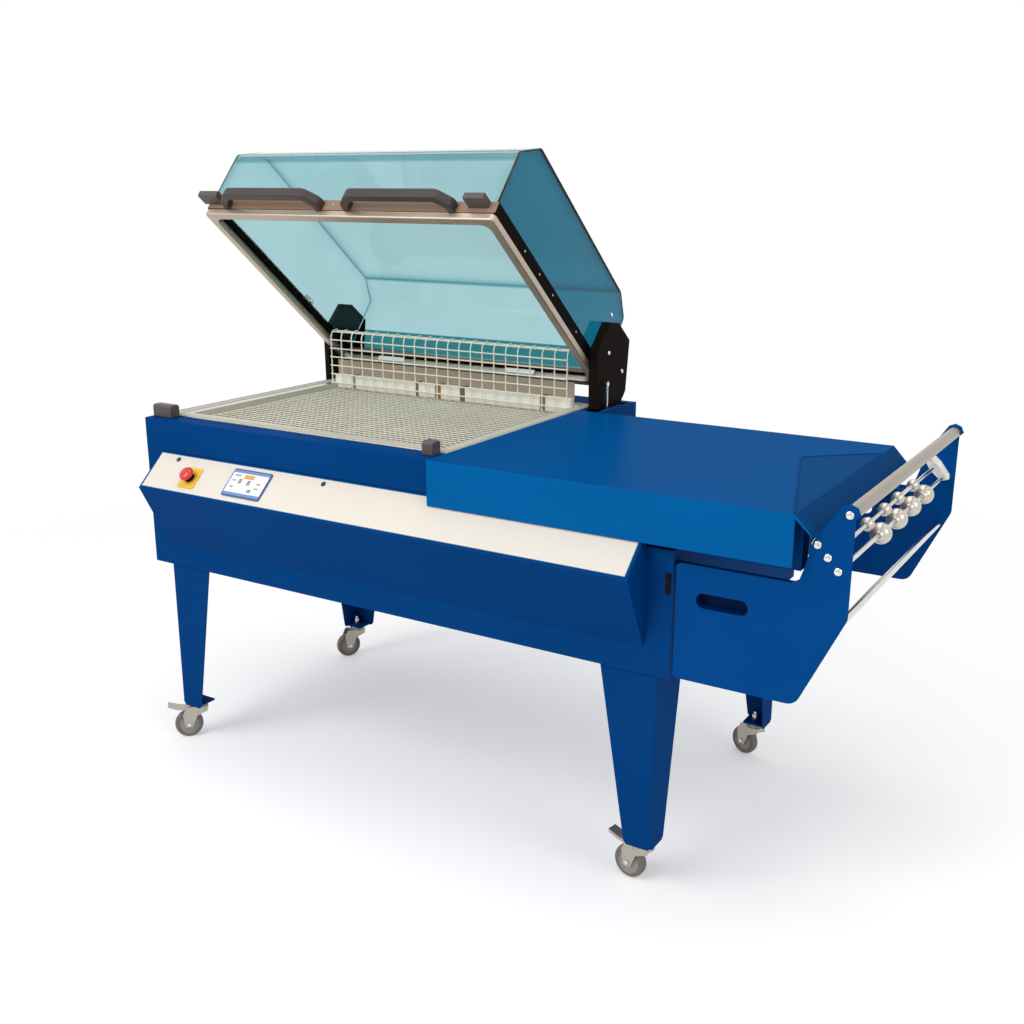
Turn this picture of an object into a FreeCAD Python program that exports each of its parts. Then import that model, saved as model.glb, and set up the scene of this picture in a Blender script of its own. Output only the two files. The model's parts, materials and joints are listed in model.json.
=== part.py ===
import FreeCAD, Part
import math
import os

import Sketcher

# Driving dimensions in millimetres and degrees. Positions are measured in the machine frame:
# x from the cabinet's left side, y from its front face, z from the floor.
DIMENSIONS = {
    # cabinet
    "cabinet_length": 1582,
    "cabinet_depth": 820,
    "overhang_depth": 115,
    "overhang_lift": 156,
    "overhang_rise": 60,
    "cabinet_base": 534,
    "cabinet_top": 946,
    "low_top": 825,
    "tall_length": 1037,
    "cabinet_sheet": 3,
    "seam_height": 860,
    "panel_sheet": 2,
    "panel_length": 962,
    "louvre_width": 90,
    "louvre_height": 8,
    "louvre_pitch": 16,
    "louvre_count": 8,
    "vent_width": 14,
    "vent_length": 220,
    "vent_pitch": 34,
    "vent_count": 10,
    "gland_radius": 14,
    "hinge_slot_front": 710,
    "hinge_slot_back": 905,
    "gland_bore": 8,
    "gland_length": 22,
    "gland_x": 1480,
    "gland_rise": 60,
    "upstand_height": 5,
    "upstand_width": 13,
    "upstand_front": 722,
    "upstand_back": 850,
    # console
    "console_left": 59,
    "console_right": 1519,
    "console_low": 596,
    "slope_length": 125.3,
    "slope_angle": 42.7,
    "console_sheet": 2,
    "fascia_sheet": 1,
    "fascia_margin": 7,
    "screen_left": 350,
    "screen_low": 22,
    "screen_length": 130,
    "screen_height": 84,
    "screen_proud": 4,
    "stop_left": 190,
    "stop_low": 22,
    "stop_length": 56,
    "stop_height": 64,
    "stop_plate": 3,
    "mushroom_radius": 20,
    "mushroom_height": 14,
    "stop_stem": 6,
    "stop_travel": 5,
    # legs and casters
    "leg_left": 60,
    "leg_right": 1552,
    "leg_front": 5,
    "leg_back": 802,
    "stem_left": 86,
    "stem_right": 1517,
    "stem_front": 40,
    "stem_back": 767,
    "leg_top_width": 140,
    "leg_foot_width": 70,
    "leg_foot": 102,
    "leg_chamfer": 8,
    "leg_sheet": 4,
    "foot_plate": 6,
    "wheel_radius": 40,
    "wheel_width": 24,
    "caster_trail": 33,
    "swivel_front_left": 227,
    "swivel_front_right": 171,
    "swivel_back_left": 239,
    "swivel_back_right": 159,
    "fork_sheet": 3,
    "fork_top": 95,
    "crown_radius": 24,
    "crown_height": 12,
    "pedal_length": 62,
    "pedal_rise": 16,
    "pedal_pin": 3,
    "axle_radius": 4,
    "kingpin_radius": 6,
    "mount_radius": 20,
    # chamber
    "rim_left": 24,
    "rim_right": 965,
    "rim_front": 55,
    "rim_back": 808,
    "rim_width": 58,
    "rim_sheet": 4,
    "chamber_back": 742,
    "chamber_rise": 166,
    "well_sheet": 2,
    "tray_top": 934,
    "tray_bar": 8,
    "mesh_wire": 3,
    "mesh_pitch": 24,
    "pad_width": 26,
    "pad_height": 1.5,
    "block_height": 42,
    "block_depth": 24,
    "rear_plate_rise": 70,
    "guard_wire": 4,
    "guard_top": 1115,
    "guard_y": 705,
    "guard_pitch": 39.5,
    "guard_row": 27,
    "guard_bend": 34,
    "post_height": 35,
    "post_depth": 33,
    "post_front": 20,
    # hood, measured from its pivot in the closed position
    "pivot_y": 880,
    "pivot_z": 960,
    "open_angle": 39.9,
    "hood_left": 26,
    "hood_right": 976,
    "hood_front": 823,
    "hood_back": 74,
    "hood_bottom": 8,
    "seal_bar_height": 20,
    "seal_bar_width": 30,
    "frame_height": 33,
    "frame_width": 38,
    "frame_sheet": 5,
    "cover_height": 227,
    "cover_sheet": 5,
    "cover_inset": 4,
    "cover_chamfer": 68,
    "rear_chamfer": 45,
    "handle_reach": 58,
    "handle_bar": 22,
    "handle_thickness": 28,
    "handle_drop": 7,
    "handle_left": 93,
    "handle_length": 348,
    "second_handle": 514,
    "catch_thickness": 14,
    "right_bracket": 30,
    "left_bracket": 18,
    "bracket_sheet": 4,
    "pin_radius": 10,
    "bearing_radius": 22,
    "bearing_width": 26,
    "strut_x": 1016,
    "strut_y": 783,
    "strut_top": 1018,
    "strut_rod": 4,
    "strut_stud": 5,
    "strut_eye": 8,
    "strut_tube": 9,
    "strut_travel": 78,
    # packing table
    "table_left": 967,
    "table_right": 1843,
    "table_front": 28,
    "table_back": 708,
    "table_top": 950,
    "table_skirt": 110,
    "table_sheet": 4,
    "flange_out": 37,
    "flange_drop": 40,
    "facet_reach": 150,
    "facet_y": 458,
    "facet_far": 595,
    "facet_height": 1.5,
    "facet_round": 14,
    "rail_width": 42,
    "rail_sheet": 3,
    "rail_reach": 7,
    # film carriage
    "plate_front": 3,
    "plate_margin": 3,
    "plate_sheet": 3,
    "plate_left": 1588,
    "plate_right": 1951,
    "plate_low": 541,
    "plate_slant_x": 1858,
    "plate_slant_z": 743,
    "plate_step_z": 801,
    "roller_x": 1939,
    "roller_z": 955,
    "roller_radius": 17.5,
    "horn_radius": 22,
    "roller_axle": 6,
    "shaft_radius": 5,
    "upper_shaft_x": 1903,
    "upper_shaft_z": 864,
    "lower_shaft_x": 1925,
    "lower_shaft_z": 839,
    "plain_rod_x": 1881,
    "plain_rod_z": 887,
    "small_ball": 15.5,
    "large_ball": 24,
    "small_ball_1": 282,
    "small_ball_2": 420,
    "small_ball_3": 536,
    "small_ball_4": 678,
    "large_ball_1": 314,
    "large_ball_2": 449,
    "large_ball_3": 575,
    "large_ball_4": 704,
    "tie_x": 1922,
    "tie_z": 711,
    "tie_radius": 8,
    "comb_sheet": 10,
    "bolt_head": 9,
    "bolt_height": 4,
    "slide_tube": 30,
    "slide_tube_low": 765,
    "slide_tube_start": 1250,
    "guide_length": 220,
    "guide_jaw": 6,
    "lock_x": 1572,
    "lock_z": 772,
    "lock_drop": 44,
    # drive and heating
    "fan_x": 505,
    "fan_y": 400,
    "fan_radius": 150,
    "fan_hub": 30,
    "fan_height": 40,
    "blade_count": 12,
    "blade_sheet": 3,
    "motor_radius": 70,
    "motor_height": 110,
    "heater_radius": 195,
    "heater_tube": 6,
    "heater_lift": 8,
    "heater_pitch": 22,
    "heater_clip": 6,
    # controls
    "control_left": 1180,
    "control_right": 1500,
    "control_front": 260,
    "control_back": 520,
    "control_clearance": 38,
    # clearances
    "running_gap": 0.05,
    "seat_gap": 0.3,
    "free_gap": 1,
}

doc = FreeCAD.newDocument("PackagingMachine")
sheet = doc.addObject("Spreadsheet::Sheet", "Dims")
for row, (alias, amount) in enumerate(DIMENSIONS.items(), start=1):
    sheet.set(f"A{row}", alias)
    sheet.set(f"B{row}", str(amount))
    sheet.setAlias(f"B{row}", alias)
doc.recompute()


class Size:
    """A length or angle that keeps both its spreadsheet formula and its present value."""

    def __init__(self, formula, value):
        self.formula = formula
        self.value = value

    def __add__(self, other):
        other = toSize(other)
        return Size(f"({self.formula} + {other.formula})", self.value + other.value)

    def __sub__(self, other):
        other = toSize(other)
        return Size(f"({self.formula} - {other.formula})", self.value - other.value)

    def __mul__(self, other):
        other = toSize(other)
        return Size(f"({self.formula} * {other.formula})", self.value * other.value)

    def __truediv__(self, other):
        other = toSize(other)
        return Size(f"({self.formula} / {other.formula})", self.value / other.value)

    def __radd__(self, other):
        return toSize(other) + self

    def __rsub__(self, other):
        return toSize(other) - self

    def __rmul__(self, other):
        return toSize(other) * self

    def __neg__(self):
        return Size(f"(0 - {self.formula})", -self.value)


def toSize(amount):
    if isinstance(amount, Size):
        return amount
    return Size(f"({amount})", float(amount))


def cosine(angle):
    return Size(f"cos({angle.formula} * 1 deg)", math.cos(math.radians(angle.value)))


def sine(angle):
    return Size(f"sin({angle.formula} * 1 deg)", math.sin(math.radians(angle.value)))


class Dimensions:
    """Gives each cell of the sheet as a Size, by its alias."""

    def __getattr__(self, alias):
        return Size(f"Dims.{alias}", float(sheet.get(alias)))


dim = Dimensions()

# The part's origin is under the middle of its box. The box runs from the cabinet's left side to the
# roller's horn, and from the console's edge to the rearmost point of the open hood.
consoleTop = dim.seam_height
consoleReach = dim.slope_length * cosine(dim.slope_angle)
consoleEdge = consoleTop - dim.slope_length * sine(dim.slope_angle)
machineBack = dim.cabinet_depth + dim.overhang_depth
overhangLow = dim.cabinet_base + dim.overhang_lift
chamberFloor = dim.cabinet_base + dim.chamber_rise
plateBack = machineBack - dim.plate_margin
originX = (dim.roller_x + dim.horn_radius) / 2
coverTop = dim.seal_bar_height - dim.hood_bottom + dim.frame_height + dim.cover_height
hoodRear = (dim.pivot_y - (dim.hood_back + dim.cover_inset) * cosine(dim.open_angle)
            + (coverTop - dim.rear_chamfer) * sine(dim.open_angle))
originY = (hoodRear - consoleReach) / 2

nodes = []


def bind(item, path, amount):
    """Sets a property from a Size, as an expression where it comes from the sheet."""
    amount = toSize(amount)
    if "Dims." in amount.formula:
        item.setExpression(path, amount.formula)
    elif "." not in path:
        setattr(item, path, amount.value)
    else:
        item.setExpression(path, amount.formula)


def place(item, x, y, z, axis=None, angle=None):
    """Puts an object at a point, turned about an axis by an angle in degrees."""
    turn = FreeCAD.Rotation()
    if axis is not None:
        turn = FreeCAD.Rotation(FreeCAD.Vector(*axis), toSize(angle).value)
    point = [toSize(amount) for amount in (x, y, z)]
    item.Placement = FreeCAD.Placement(FreeCAD.Vector(*(amount.value for amount in point)), turn)
    for letter, amount in zip("xyz", point):
        bind(item, f"Placement.Base.{letter}", amount)
    if axis is not None and isinstance(angle, Size):
        bind(item, "Placement.Rotation.Angle", angle)
    return item


def keep(label, item, x=0, y=0, z=0, axis=None, angle=None):
    """Names a finished sub-part and moves it from the machine frame to the part's frame."""
    item.Label = label
    place(item, toSize(x) - originX, toSize(y) - originY, z, axis, angle)
    nodes.append(item)
    return item


def keepOnHood(label, item):
    """Keeps a sub-part drawn about the hood's pivot, closed, and swings it to the open pose."""
    return keep(label, item, 0, dim.pivot_y, dim.pivot_z, (1, 0, 0), -dim.open_angle)


def box(name, x, y, z):
    item = doc.addObject("Part::Box", name)
    for side, (low, high) in zip(("Length", "Width", "Height"), (x, y, z)):
        bind(item, side, toSize(high) - toSize(low))
    return place(item, x[0], y[0], z[0])


TURNS = {"x": ((0, 1, 0), 90), "y": ((1, 0, 0), -90), "z": (None, None)}


def cylinder(name, along, centre, radius, length):
    item = doc.addObject("Part::Cylinder", name)
    bind(item, "Radius", radius)
    bind(item, "Height", length)
    return place(item, *centre, *TURNS[along])


def group(name, parts):
    item = doc.addObject("Part::Compound", name)
    item.Links = parts
    return item


def fuse(name, parts):
    item = doc.addObject("Part::MultiFuse", name)
    item.Shapes = parts
    item.Refine = True
    return item


def cut(name, base, tools):
    item = doc.addObject("Part::Cut", name)
    item.Base = base
    item.Tool = tools[0] if len(tools) == 1 else fuse(name + "Tools", tools)
    return item


def newBody(name):
    return doc.addObject("PartDesign::Body", name)


# Each plane's role, the direction of its normal along the machine's axis, and whether a pad and a
# pocket must be reversed so that both run towards the positive axis.
PLANES = {
    "xy": ("XY_Plane", 1, False, True),
    "xz": ("XZ_Plane", -1, True, False),
    "yz": ("YZ_Plane", 1, False, True),
}


def drawSketch(body, name, plane, start, outlines):
    """Draws closed outlines: lists of points, or ("circle", u, v, radius)."""
    role, side = PLANES[plane][:2]
    sketch = body.newObject("Sketcher::SketchObject", name)
    origin = [feature for feature in body.Origin.OriginFeatures if feature.Role == role][0]
    sketch.AttachmentSupport = [(origin, "")]
    sketch.MapMode = "FlatFace"
    bind(sketch, "AttachmentOffset.Base.z", toSize(start) * side)
    rules = []
    for outline in outlines:
        if outline[0] == "circle":
            u, v, radius = (toSize(amount) for amount in outline[1:])
            centre = FreeCAD.Vector(u.value, v.value, 0)
            circle = Part.Circle(centre, FreeCAD.Vector(0, 0, 1), radius.value)
            line = sketch.addGeometry(circle, False)
            rules.append((Sketcher.Constraint("DistanceX", -1, 1, line, 3, u.value), u))
            rules.append((Sketcher.Constraint("DistanceY", -1, 1, line, 3, v.value), v))
            rules.append((Sketcher.Constraint("Radius", line, radius.value), radius))
            continue
        points = [(toSize(u), toSize(v)) for u, v in outline]
        corners = [FreeCAD.Vector(u.value, v.value, 0) for u, v in points]
        first = sketch.GeometryCount
        count = len(corners)
        for index in range(count):
            side_line = Part.LineSegment(corners[index], corners[(index + 1) % count])
            sketch.addGeometry(side_line, False)
        for index in range(count):
            before = first + (index - 1) % count
            sketch.addConstraint(Sketcher.Constraint("Coincident", before, 2, first + index, 1))
            u, v = points[index]
            line = first + index
            rules.append((Sketcher.Constraint("DistanceX", -1, 1, line, 1, u.value), u))
            rules.append((Sketcher.Constraint("DistanceY", -1, 1, line, 1, v.value), v))
    for rule, amount in rules:
        number = sketch.addConstraint(rule)
        if "Dims." in amount.formula:
            sketch.setExpression(f"Constraints[{number}]", amount.formula)
    return sketch


def pad(body, name, plane, start, length, outlines):
    sketch = drawSketch(body, name + "Sketch", plane, start, outlines)
    feature = body.newObject("PartDesign::Pad", name)
    feature.Profile = sketch
    feature.Reversed = PLANES[plane][2]
    bind(feature, "Length", length)
    doc.recompute()
    return feature


def pocket(body, name, plane, start, length, outlines):
    before = body.Shape.Volume
    sketch = drawSketch(body, name + "Sketch", plane, start, outlines)
    feature = body.newObject("PartDesign::Pocket", name)
    feature.Profile = sketch
    feature.Reversed = PLANES[plane][3]
    bind(feature, "Length", length)
    doc.recompute()
    if body.Shape.Volume > before - 1e-6:
        raise RuntimeError(f"{name} removes nothing")
    return feature


def revolve(name, plane, points):
    """Turns an outline once about its plane's upright axis."""
    body = newBody(name)
    sketch = drawSketch(body, name + "Sketch", plane, 0, [points])
    feature = body.newObject("PartDesign::Revolution", name + "Turn")
    feature.Profile = sketch
    feature.ReferenceAxis = (sketch, ["V_Axis"])
    feature.Angle = 360
    doc.recompute()
    return body


def roundEdges(body, name, direction, spots, radius):
    """Rounds the straight edges along a direction that pass through the given (a, b) spots."""
    tip = body.Tip
    axis = "xyz".index(direction)
    others = [index for index in range(3) if index != axis]
    names = []
    for number, edge in enumerate(tip.Shape.Edges, start=1):
        if len(edge.Vertexes) != 2:
            continue
        ends = [vertex.Point for vertex in edge.Vertexes]
        if any(abs(ends[0][index] - ends[1][index]) > 1e-4 for index in others):
            continue
        for spot in spots:
            reach = [abs(ends[0][index] - toSize(value).value) for index, value in zip(others, spot)]
            if max(reach) < 0.01:
                names.append(f"Edge{number}")
    feature = body.newObject("PartDesign::Fillet", name)
    feature.Base = (tip, names)
    bind(feature, "Radius", radius)
    doc.recompute()
    return feature


def rectangle(low_u, high_u, low_v, high_v):
    return [(low_u, low_v), (high_u, low_v), (high_u, high_v), (low_u, high_v)]


# Cabinet: a stepped shell of folded sheet with a rear overhang that carries the hood's hinges.
def cabinetFront(inset):
    right = dim.cabinet_length - inset
    return [
        (inset, dim.cabinet_base + inset),
        (right, dim.cabinet_base + inset),
        (right, dim.low_top - inset),
        (dim.tall_length - inset, dim.low_top - inset),
        (dim.tall_length - inset, dim.cabinet_top - inset),
        (inset, dim.cabinet_top - inset),
    ]


def cabinetSide(inset):
    """The corner under the overhang, cut from the block behind the main depth."""
    depth = dim.cabinet_depth - inset
    back = machineBack + 10
    return [
        (depth, dim.cabinet_base - 10),
        (depth, overhangLow + inset),
        (machineBack - inset, overhangLow + dim.overhang_rise + inset),
        (back, overhangLow + dim.overhang_rise + inset),
        (back, dim.cabinet_base - 10),
    ]


def cabinetBlock(name, inset):
    body = newBody(name)
    length = machineBack - 2 * toSize(inset)
    pad(body, name + "Block", "xz", inset, length, [cabinetFront(inset)])
    pocket(body, name + "Back", "yz", -10, dim.cabinet_length + 20, [cabinetSide(inset)])
    return body


slotMargin = 3
hingeSlots = {
    "left": (dim.hood_left - dim.left_bracket - slotMargin, dim.hood_left + slotMargin),
    "right": (dim.hood_right - slotMargin, dim.strut_x + dim.strut_eye),
}
wellLeft = dim.rim_left + dim.rim_width
wellRight = dim.rim_right - dim.rim_width / 1.5
wellFront = dim.rim_front + dim.rim_width * 0.75
tubeSeat = {"front": dim.plate_front + dim.plate_sheet, "back": plateBack - dim.plate_sheet}
tubeRows = {
    "front": (tubeSeat["front"], tubeSeat["front"] + dim.slide_tube),
    "back": (tubeSeat["back"] - dim.slide_tube, tubeSeat["back"]),
}
tubeHigh = dim.slide_tube_low + dim.slide_tube


def makeCabinet():
    body = cabinetBlock("CabinetOuter", toSize(0))
    inner = cabinetBlock("CabinetInner", dim.cabinet_sheet)
    top = (dim.cabinet_top - 20, dim.cabinet_top + 20)
    margin = dim.well_sheet + dim.free_gap
    tools = [inner]
    tools.append(box("WellOpening", (wellLeft - margin, wellRight + margin),
                     (wellFront - margin, dim.chamber_back + margin), top))
    for side, (low, high) in hingeSlots.items():
        slot = (dim.hinge_slot_front, dim.hinge_slot_back)
        tools.append(box(f"HingeSlot{side}", (low, high), slot, top))
    wall = (dim.cabinet_length - 20, dim.cabinet_length + 20)
    for side, (low, high) in tubeRows.items():
        tools.append(box(f"TubeHole{side}", wall, (low - dim.free_gap, high + dim.free_gap),
                         (dim.slide_tube_low - dim.free_gap, tubeHigh + dim.free_gap)))
    shell = cut("CabinetShell", body, tools)
    # banks of louvre slots in the back of the main box, and a row of vents in the floor pan
    openings = []
    through = (dim.cabinet_depth - 20, dim.cabinet_depth + 20)
    for bank in range(3):
        left = dim.cabinet_length * (0.16 + 0.29 * bank)
        for step in range(int(dim.louvre_count.value)):
            low = dim.cabinet_base + 24 + dim.louvre_pitch * step
            openings.append(box(f"Louvre{bank}_{step}", (left, left + dim.louvre_width), through,
                                (low, low + dim.louvre_height)))
    floor = (dim.cabinet_base - 10, dim.cabinet_base + 10)
    middle = dim.cabinet_depth / 2
    for step in range(int(dim.vent_count.value)):
        left = dim.fan_x - dim.vent_pitch * (dim.vent_count / 2 - step)
        openings.append(box(f"Vent{step}", (left, left + dim.vent_width),
                            (middle - dim.vent_length / 2, middle + dim.vent_length / 2), floor))
    # the narrow upstand beside the strut, folded from the top sheet, and the cable gland
    high = dim.cabinet_top + dim.upstand_height
    across = (dim.tall_length - dim.upstand_width, dim.tall_length)
    along = (dim.upstand_front, dim.upstand_back)
    fold = dim.cabinet_sheet
    front = box("UpstandFront", across, (dim.upstand_front, dim.upstand_front + fold),
                (dim.cabinet_top, high))
    side = box("UpstandSide", (dim.tall_length - fold, dim.tall_length), along,
               (dim.cabinet_top, high))
    lid = box("UpstandLid", across, along, (high - fold, high))
    gland_z = dim.cabinet_base + dim.gland_rise
    gland = cylinder("CableGland", "y", (dim.gland_x, dim.cabinet_depth, gland_z),
                     dim.gland_radius, dim.gland_length)
    walls = fuse("CabinetWalls", [shell, front, side, lid, gland])
    openings.append(cylinder("GlandBore", "y", (dim.gland_x, dim.cabinet_depth - 20, gland_z),
                             dim.gland_bore, dim.gland_length + 40))
    keep("cabinet", cut("Cabinet", walls, openings))


def makeUpperPanel():
    body = newBody("UpperFrontPanel")
    low = dim.seam_height + dim.free_gap
    outline = rectangle(2, dim.panel_length, low, dim.cabinet_top - dim.free_gap)
    pad(body, "UpperPanelSheet", "xz", -dim.panel_sheet, dim.panel_sheet, [outline])
    keep("upper_front_panel", body)


# Console: a triangular prism of folded sheet. Its front slope carries the fascia, so what sits there
# is placed from the slope's lower edge, with u along the machine and v up the slope.
def consoleOutline(inset):
    """The prism's side view. The inset follows the sheet on both sloping faces."""
    lift = inset / sine(dim.slope_angle)
    return [
        (0, consoleTop - lift * cosine(dim.slope_angle) * 1.4),
        (lift * 1.5 - consoleReach, consoleEdge - inset * 0.2),
        (0, dim.console_low + inset * 2.4),
    ]


def slopePoint(height):
    """The y and z of the slope's lower edge, lifted off the slope by a height."""
    y = -consoleReach - toSize(height) * sine(dim.slope_angle)
    z = consoleEdge + toSize(height) * cosine(dim.slope_angle)
    return y, z


def slopeBox(name, left, low, height, length, width, thickness):
    item = doc.addObject("Part::Box", name)
    bind(item, "Length", length)
    bind(item, "Width", width)
    bind(item, "Height", thickness)
    y, z = slopePoint(height)
    y = y + toSize(low) * cosine(dim.slope_angle)
    z = z + toSize(low) * sine(dim.slope_angle)
    return place(item, left, y, z, (1, 0, 0), dim.slope_angle)


def slopeCylinder(name, left, low, height, radius, length):
    item = doc.addObject("Part::Cylinder", name)
    bind(item, "Radius", radius)
    bind(item, "Height", length)
    y, z = slopePoint(height)
    y = y + toSize(low) * cosine(dim.slope_angle)
    z = z + toSize(low) * sine(dim.slope_angle)
    return place(item, left, y, z, (1, 0, 0), dim.slope_angle)


stopCentre = (dim.stop_left + dim.stop_length / 2, dim.stop_low + dim.stop_height / 2)
barrelRadius = dim.mushroom_radius * 0.55
screenInset = 8


def consoleCuts(name, depth, height):
    """Openings for the screen's housing and the stop button's barrel."""
    window = slopeBox(name + "Window", dim.screen_left + screenInset - dim.free_gap,
                      dim.screen_low + screenInset - dim.free_gap, height,
                      dim.screen_length - 2 * screenInset + 2 * dim.free_gap,
                      dim.screen_height - 2 * screenInset + 2 * dim.free_gap, depth)
    bore = slopeCylinder(name + "Bore", *stopCentre, height, barrelRadius + dim.free_gap, depth)
    return [window, bore]


def makeConsole():
    body = newBody("ConsolePrism")
    length = dim.console_right - dim.console_left
    pad(body, "ConsoleFold", "yz", dim.console_left, length, [consoleOutline(toSize(0))])
    pocket(body, "ConsoleHollow", "yz", dim.console_left + dim.console_sheet,
           length - 2 * dim.console_sheet, [consoleOutline(dim.console_sheet)])
    keep("console", cut("Console", body, consoleCuts("Console", 20, -10)))

    margin = dim.fascia_margin
    sheet_metal = slopeBox("FasciaSheet", dim.console_left + margin, margin, 0,
                           length - 2 * margin, dim.slope_length - 2 * margin, dim.fascia_sheet)
    keep("console_fascia", cut("Fascia", sheet_metal, consoleCuts("Fascia", 20, -10)))

    bezel = slopeBox("ScreenBezel", dim.screen_left, dim.screen_low, dim.fascia_sheet,
                     dim.screen_length, dim.screen_height, dim.screen_proud)
    housing = slopeBox("ScreenHousing", dim.screen_left + screenInset,
                       dim.screen_low + screenInset, -16, dim.screen_length - 2 * screenInset,
                       dim.screen_height - 2 * screenInset, 16 + dim.fascia_sheet)
    keep("touch_screen", fuse("TouchScreen", [bezel, housing]))

    plate = slopeBox("StopPlate", dim.stop_left, dim.stop_low, dim.fascia_sheet,
                     dim.stop_length, dim.stop_height, dim.stop_plate)
    face = dim.fascia_sheet + dim.stop_plate
    barrel = slopeCylinder("StopBarrel", *stopCentre, -14, barrelRadius, face + 14 + 6)
    bore = slopeCylinder("StopBore", *stopCentre, -8, dim.stop_stem + dim.running_gap, face + 20)
    base = cut("StopBase", fuse("StopBaseSolid", [plate, barrel]), [bore])
    keep("stop_button_base", base)

    rest = face + 6 + dim.stop_travel + dim.seat_gap
    head = slopeCylinder("Mushroom", *stopCentre, rest, dim.mushroom_radius, dim.mushroom_height)
    edge = doc.addObject("Part::Fillet", "MushroomEdge")
    edge.Base = head
    doc.recompute()
    rims = [number for number, item in enumerate(head.Shape.Edges, start=1) if item.Closed]
    high = max(rims, key=lambda number: head.Shape.Edges[number - 1].CenterOfMass.z)
    edge.Edges = [(high, 6.0, 6.0)]
    stem = slopeCylinder("StopStem", *stopCentre, 4, dim.stop_stem, rest - 2)
    keep("stop_button", fuse("StopButton", [edge, stem]))


# Legs: two folded faces that taper to the foot, with a foot plate for the caster.
legCorners = {
    "front_left": (dim.leg_left, dim.leg_front, 1, 1),
    "front_right": (dim.leg_right, dim.leg_front, -1, 1),
    "back_left": (dim.leg_left, dim.leg_back, 1, -1),
    "back_right": (dim.leg_right, dim.leg_back, -1, -1),
}


def legFace(corner, way):
    """One face's outline: upright at the corner, tapered on the inner side, chamfered foot."""
    foot = dim.leg_foot
    chamfer = dim.leg_chamfer
    return [
        (corner, dim.cabinet_base),
        (corner, foot + chamfer),
        (corner + way * chamfer, foot),
        (corner + way * (dim.leg_foot_width - chamfer), foot),
        (corner + way * dim.leg_foot_width, foot + chamfer),
        (corner + way * dim.leg_top_width, dim.cabinet_base),
    ]


stemCentres = {
    "front_left": (dim.stem_left, dim.stem_front),
    "front_right": (dim.stem_right, dim.stem_front),
    "back_left": (dim.stem_left, dim.stem_back),
    "back_right": (dim.stem_right, dim.stem_back),
}
braked = ("front_left", "front_right")


def span(start, way, length):
    """A low and high limit from a start, a direction and a length."""
    start = toSize(start)
    return (start, start + length) if way > 0 else (start - length, start)


def makeLeg(corner):
    x, y, way_x, way_y = legCorners[corner]
    body = newBody("Leg_" + corner)
    wall = span(y, way_y, dim.leg_sheet)
    pad(body, f"LegFront_{corner}", "xz", wall[0], dim.leg_sheet, [legFace(x, way_x)])
    wall = span(x, way_x, dim.leg_sheet)
    pad(body, f"LegSide_{corner}", "yz", wall[0], dim.leg_sheet, [legFace(y, way_y)])
    low = dim.leg_foot + 4
    inside = dim.leg_foot_width - dim.leg_sheet
    plate_x = span(x + way_x * dim.leg_sheet, way_x, inside - dim.leg_chamfer)
    plate_y = span(y + way_y * dim.leg_sheet, way_y, inside - dim.leg_chamfer)
    pad(body, f"LegFoot_{corner}", "xy", low, dim.foot_plate,
        [rectangle(*plate_x, *plate_y)])
    cap = dim.leg_top_width - 24
    plate_x = span(x, way_x, cap)
    plate_y = span(y, way_y, cap)
    pad(body, f"LegHead_{corner}", "xy", dim.cabinet_base - dim.leg_sheet, dim.leg_sheet,
        [rectangle(*plate_x, *plate_y)])
    keep("leg_" + corner, body)


# Casters: a mount with its kingpin on each leg, a swivel fork with its axle, and a wheel.
def makeCasterMounts():
    parts = []
    for corner, (x, y) in stemCentres.items():
        low = dim.fork_top + dim.seat_gap
        disc = cylinder(f"MountDisc_{corner}", "z", (x, y, low), dim.mount_radius,
                        dim.leg_foot + 4 - low)
        pin = cylinder(f"Kingpin_{corner}", "z", (x, y, dim.fork_top - 8), dim.kingpin_radius, 10)
        parts.append(fuse(f"Mount_{corner}", [disc, pin]))
    keep("caster_mounts", group("CasterMounts", parts))


pedalPivot = (dim.caster_trail - 1, dim.fork_top - 8)


def makeFork(corner, swivel):
    """A fork drawn with its wheel towards +x, then turned to its swivel angle."""
    trail = dim.caster_trail
    inner = dim.wheel_width / 2 + dim.free_gap * 2
    body = newBody("Fork_" + corner)
    axle_z = dim.wheel_radius
    cheek = [
        (-22, dim.fork_top),
        (trail + 5, dim.fork_top),
        (trail + 16, axle_z + 30),
        (trail + 10, axle_z - 8),
        (trail - 10, axle_z - 8),
        (trail - 24, axle_z + 26),
        (-22, dim.fork_top - 16),
    ]
    pad(body, f"Cheeks_{corner}", "xz", -inner - dim.fork_sheet,
        2 * inner + 2 * dim.fork_sheet, [cheek])
    low = axle_z - 12
    crown = dim.fork_top - dim.crown_height
    crown_end = dim.crown_radius + dim.free_gap
    pocket(body, f"ForkGap_{corner}", "xz", -inner, 2 * inner,
           [[(-40, low - 10), (trail + 60, low - 10), (trail + 60, dim.fork_top + 10),
             (crown_end, dim.fork_top + 10), (crown_end, crown), (-40, crown)]])
    pad(body, f"ForkAxle_{corner}", "xz", -inner - dim.fork_sheet - 2,
        2 * inner + 2 * dim.fork_sheet + 4, [("circle", trail, axle_z, dim.axle_radius)])
    pad(body, f"ForkCrown_{corner}", "xy", crown, dim.crown_height,
        [("circle", 0, 0, dim.crown_radius)])
    pocket(body, f"ForkBore_{corner}", "xy", crown - 5, 30,
           [("circle", 0, 0, dim.kingpin_radius + dim.running_gap)])
    if corner in braked:
        pin = ("circle", *pedalPivot, dim.pedal_pin + dim.running_gap)
        pocket(body, f"PedalHoles_{corner}", "xz", -inner - dim.fork_sheet,
               2 * inner + 2 * dim.fork_sheet, [pin])
    x, y = stemCentres[corner]
    keep("caster_fork_" + corner, body, x, y, 0, (0, 0, 1), swivel)


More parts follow.
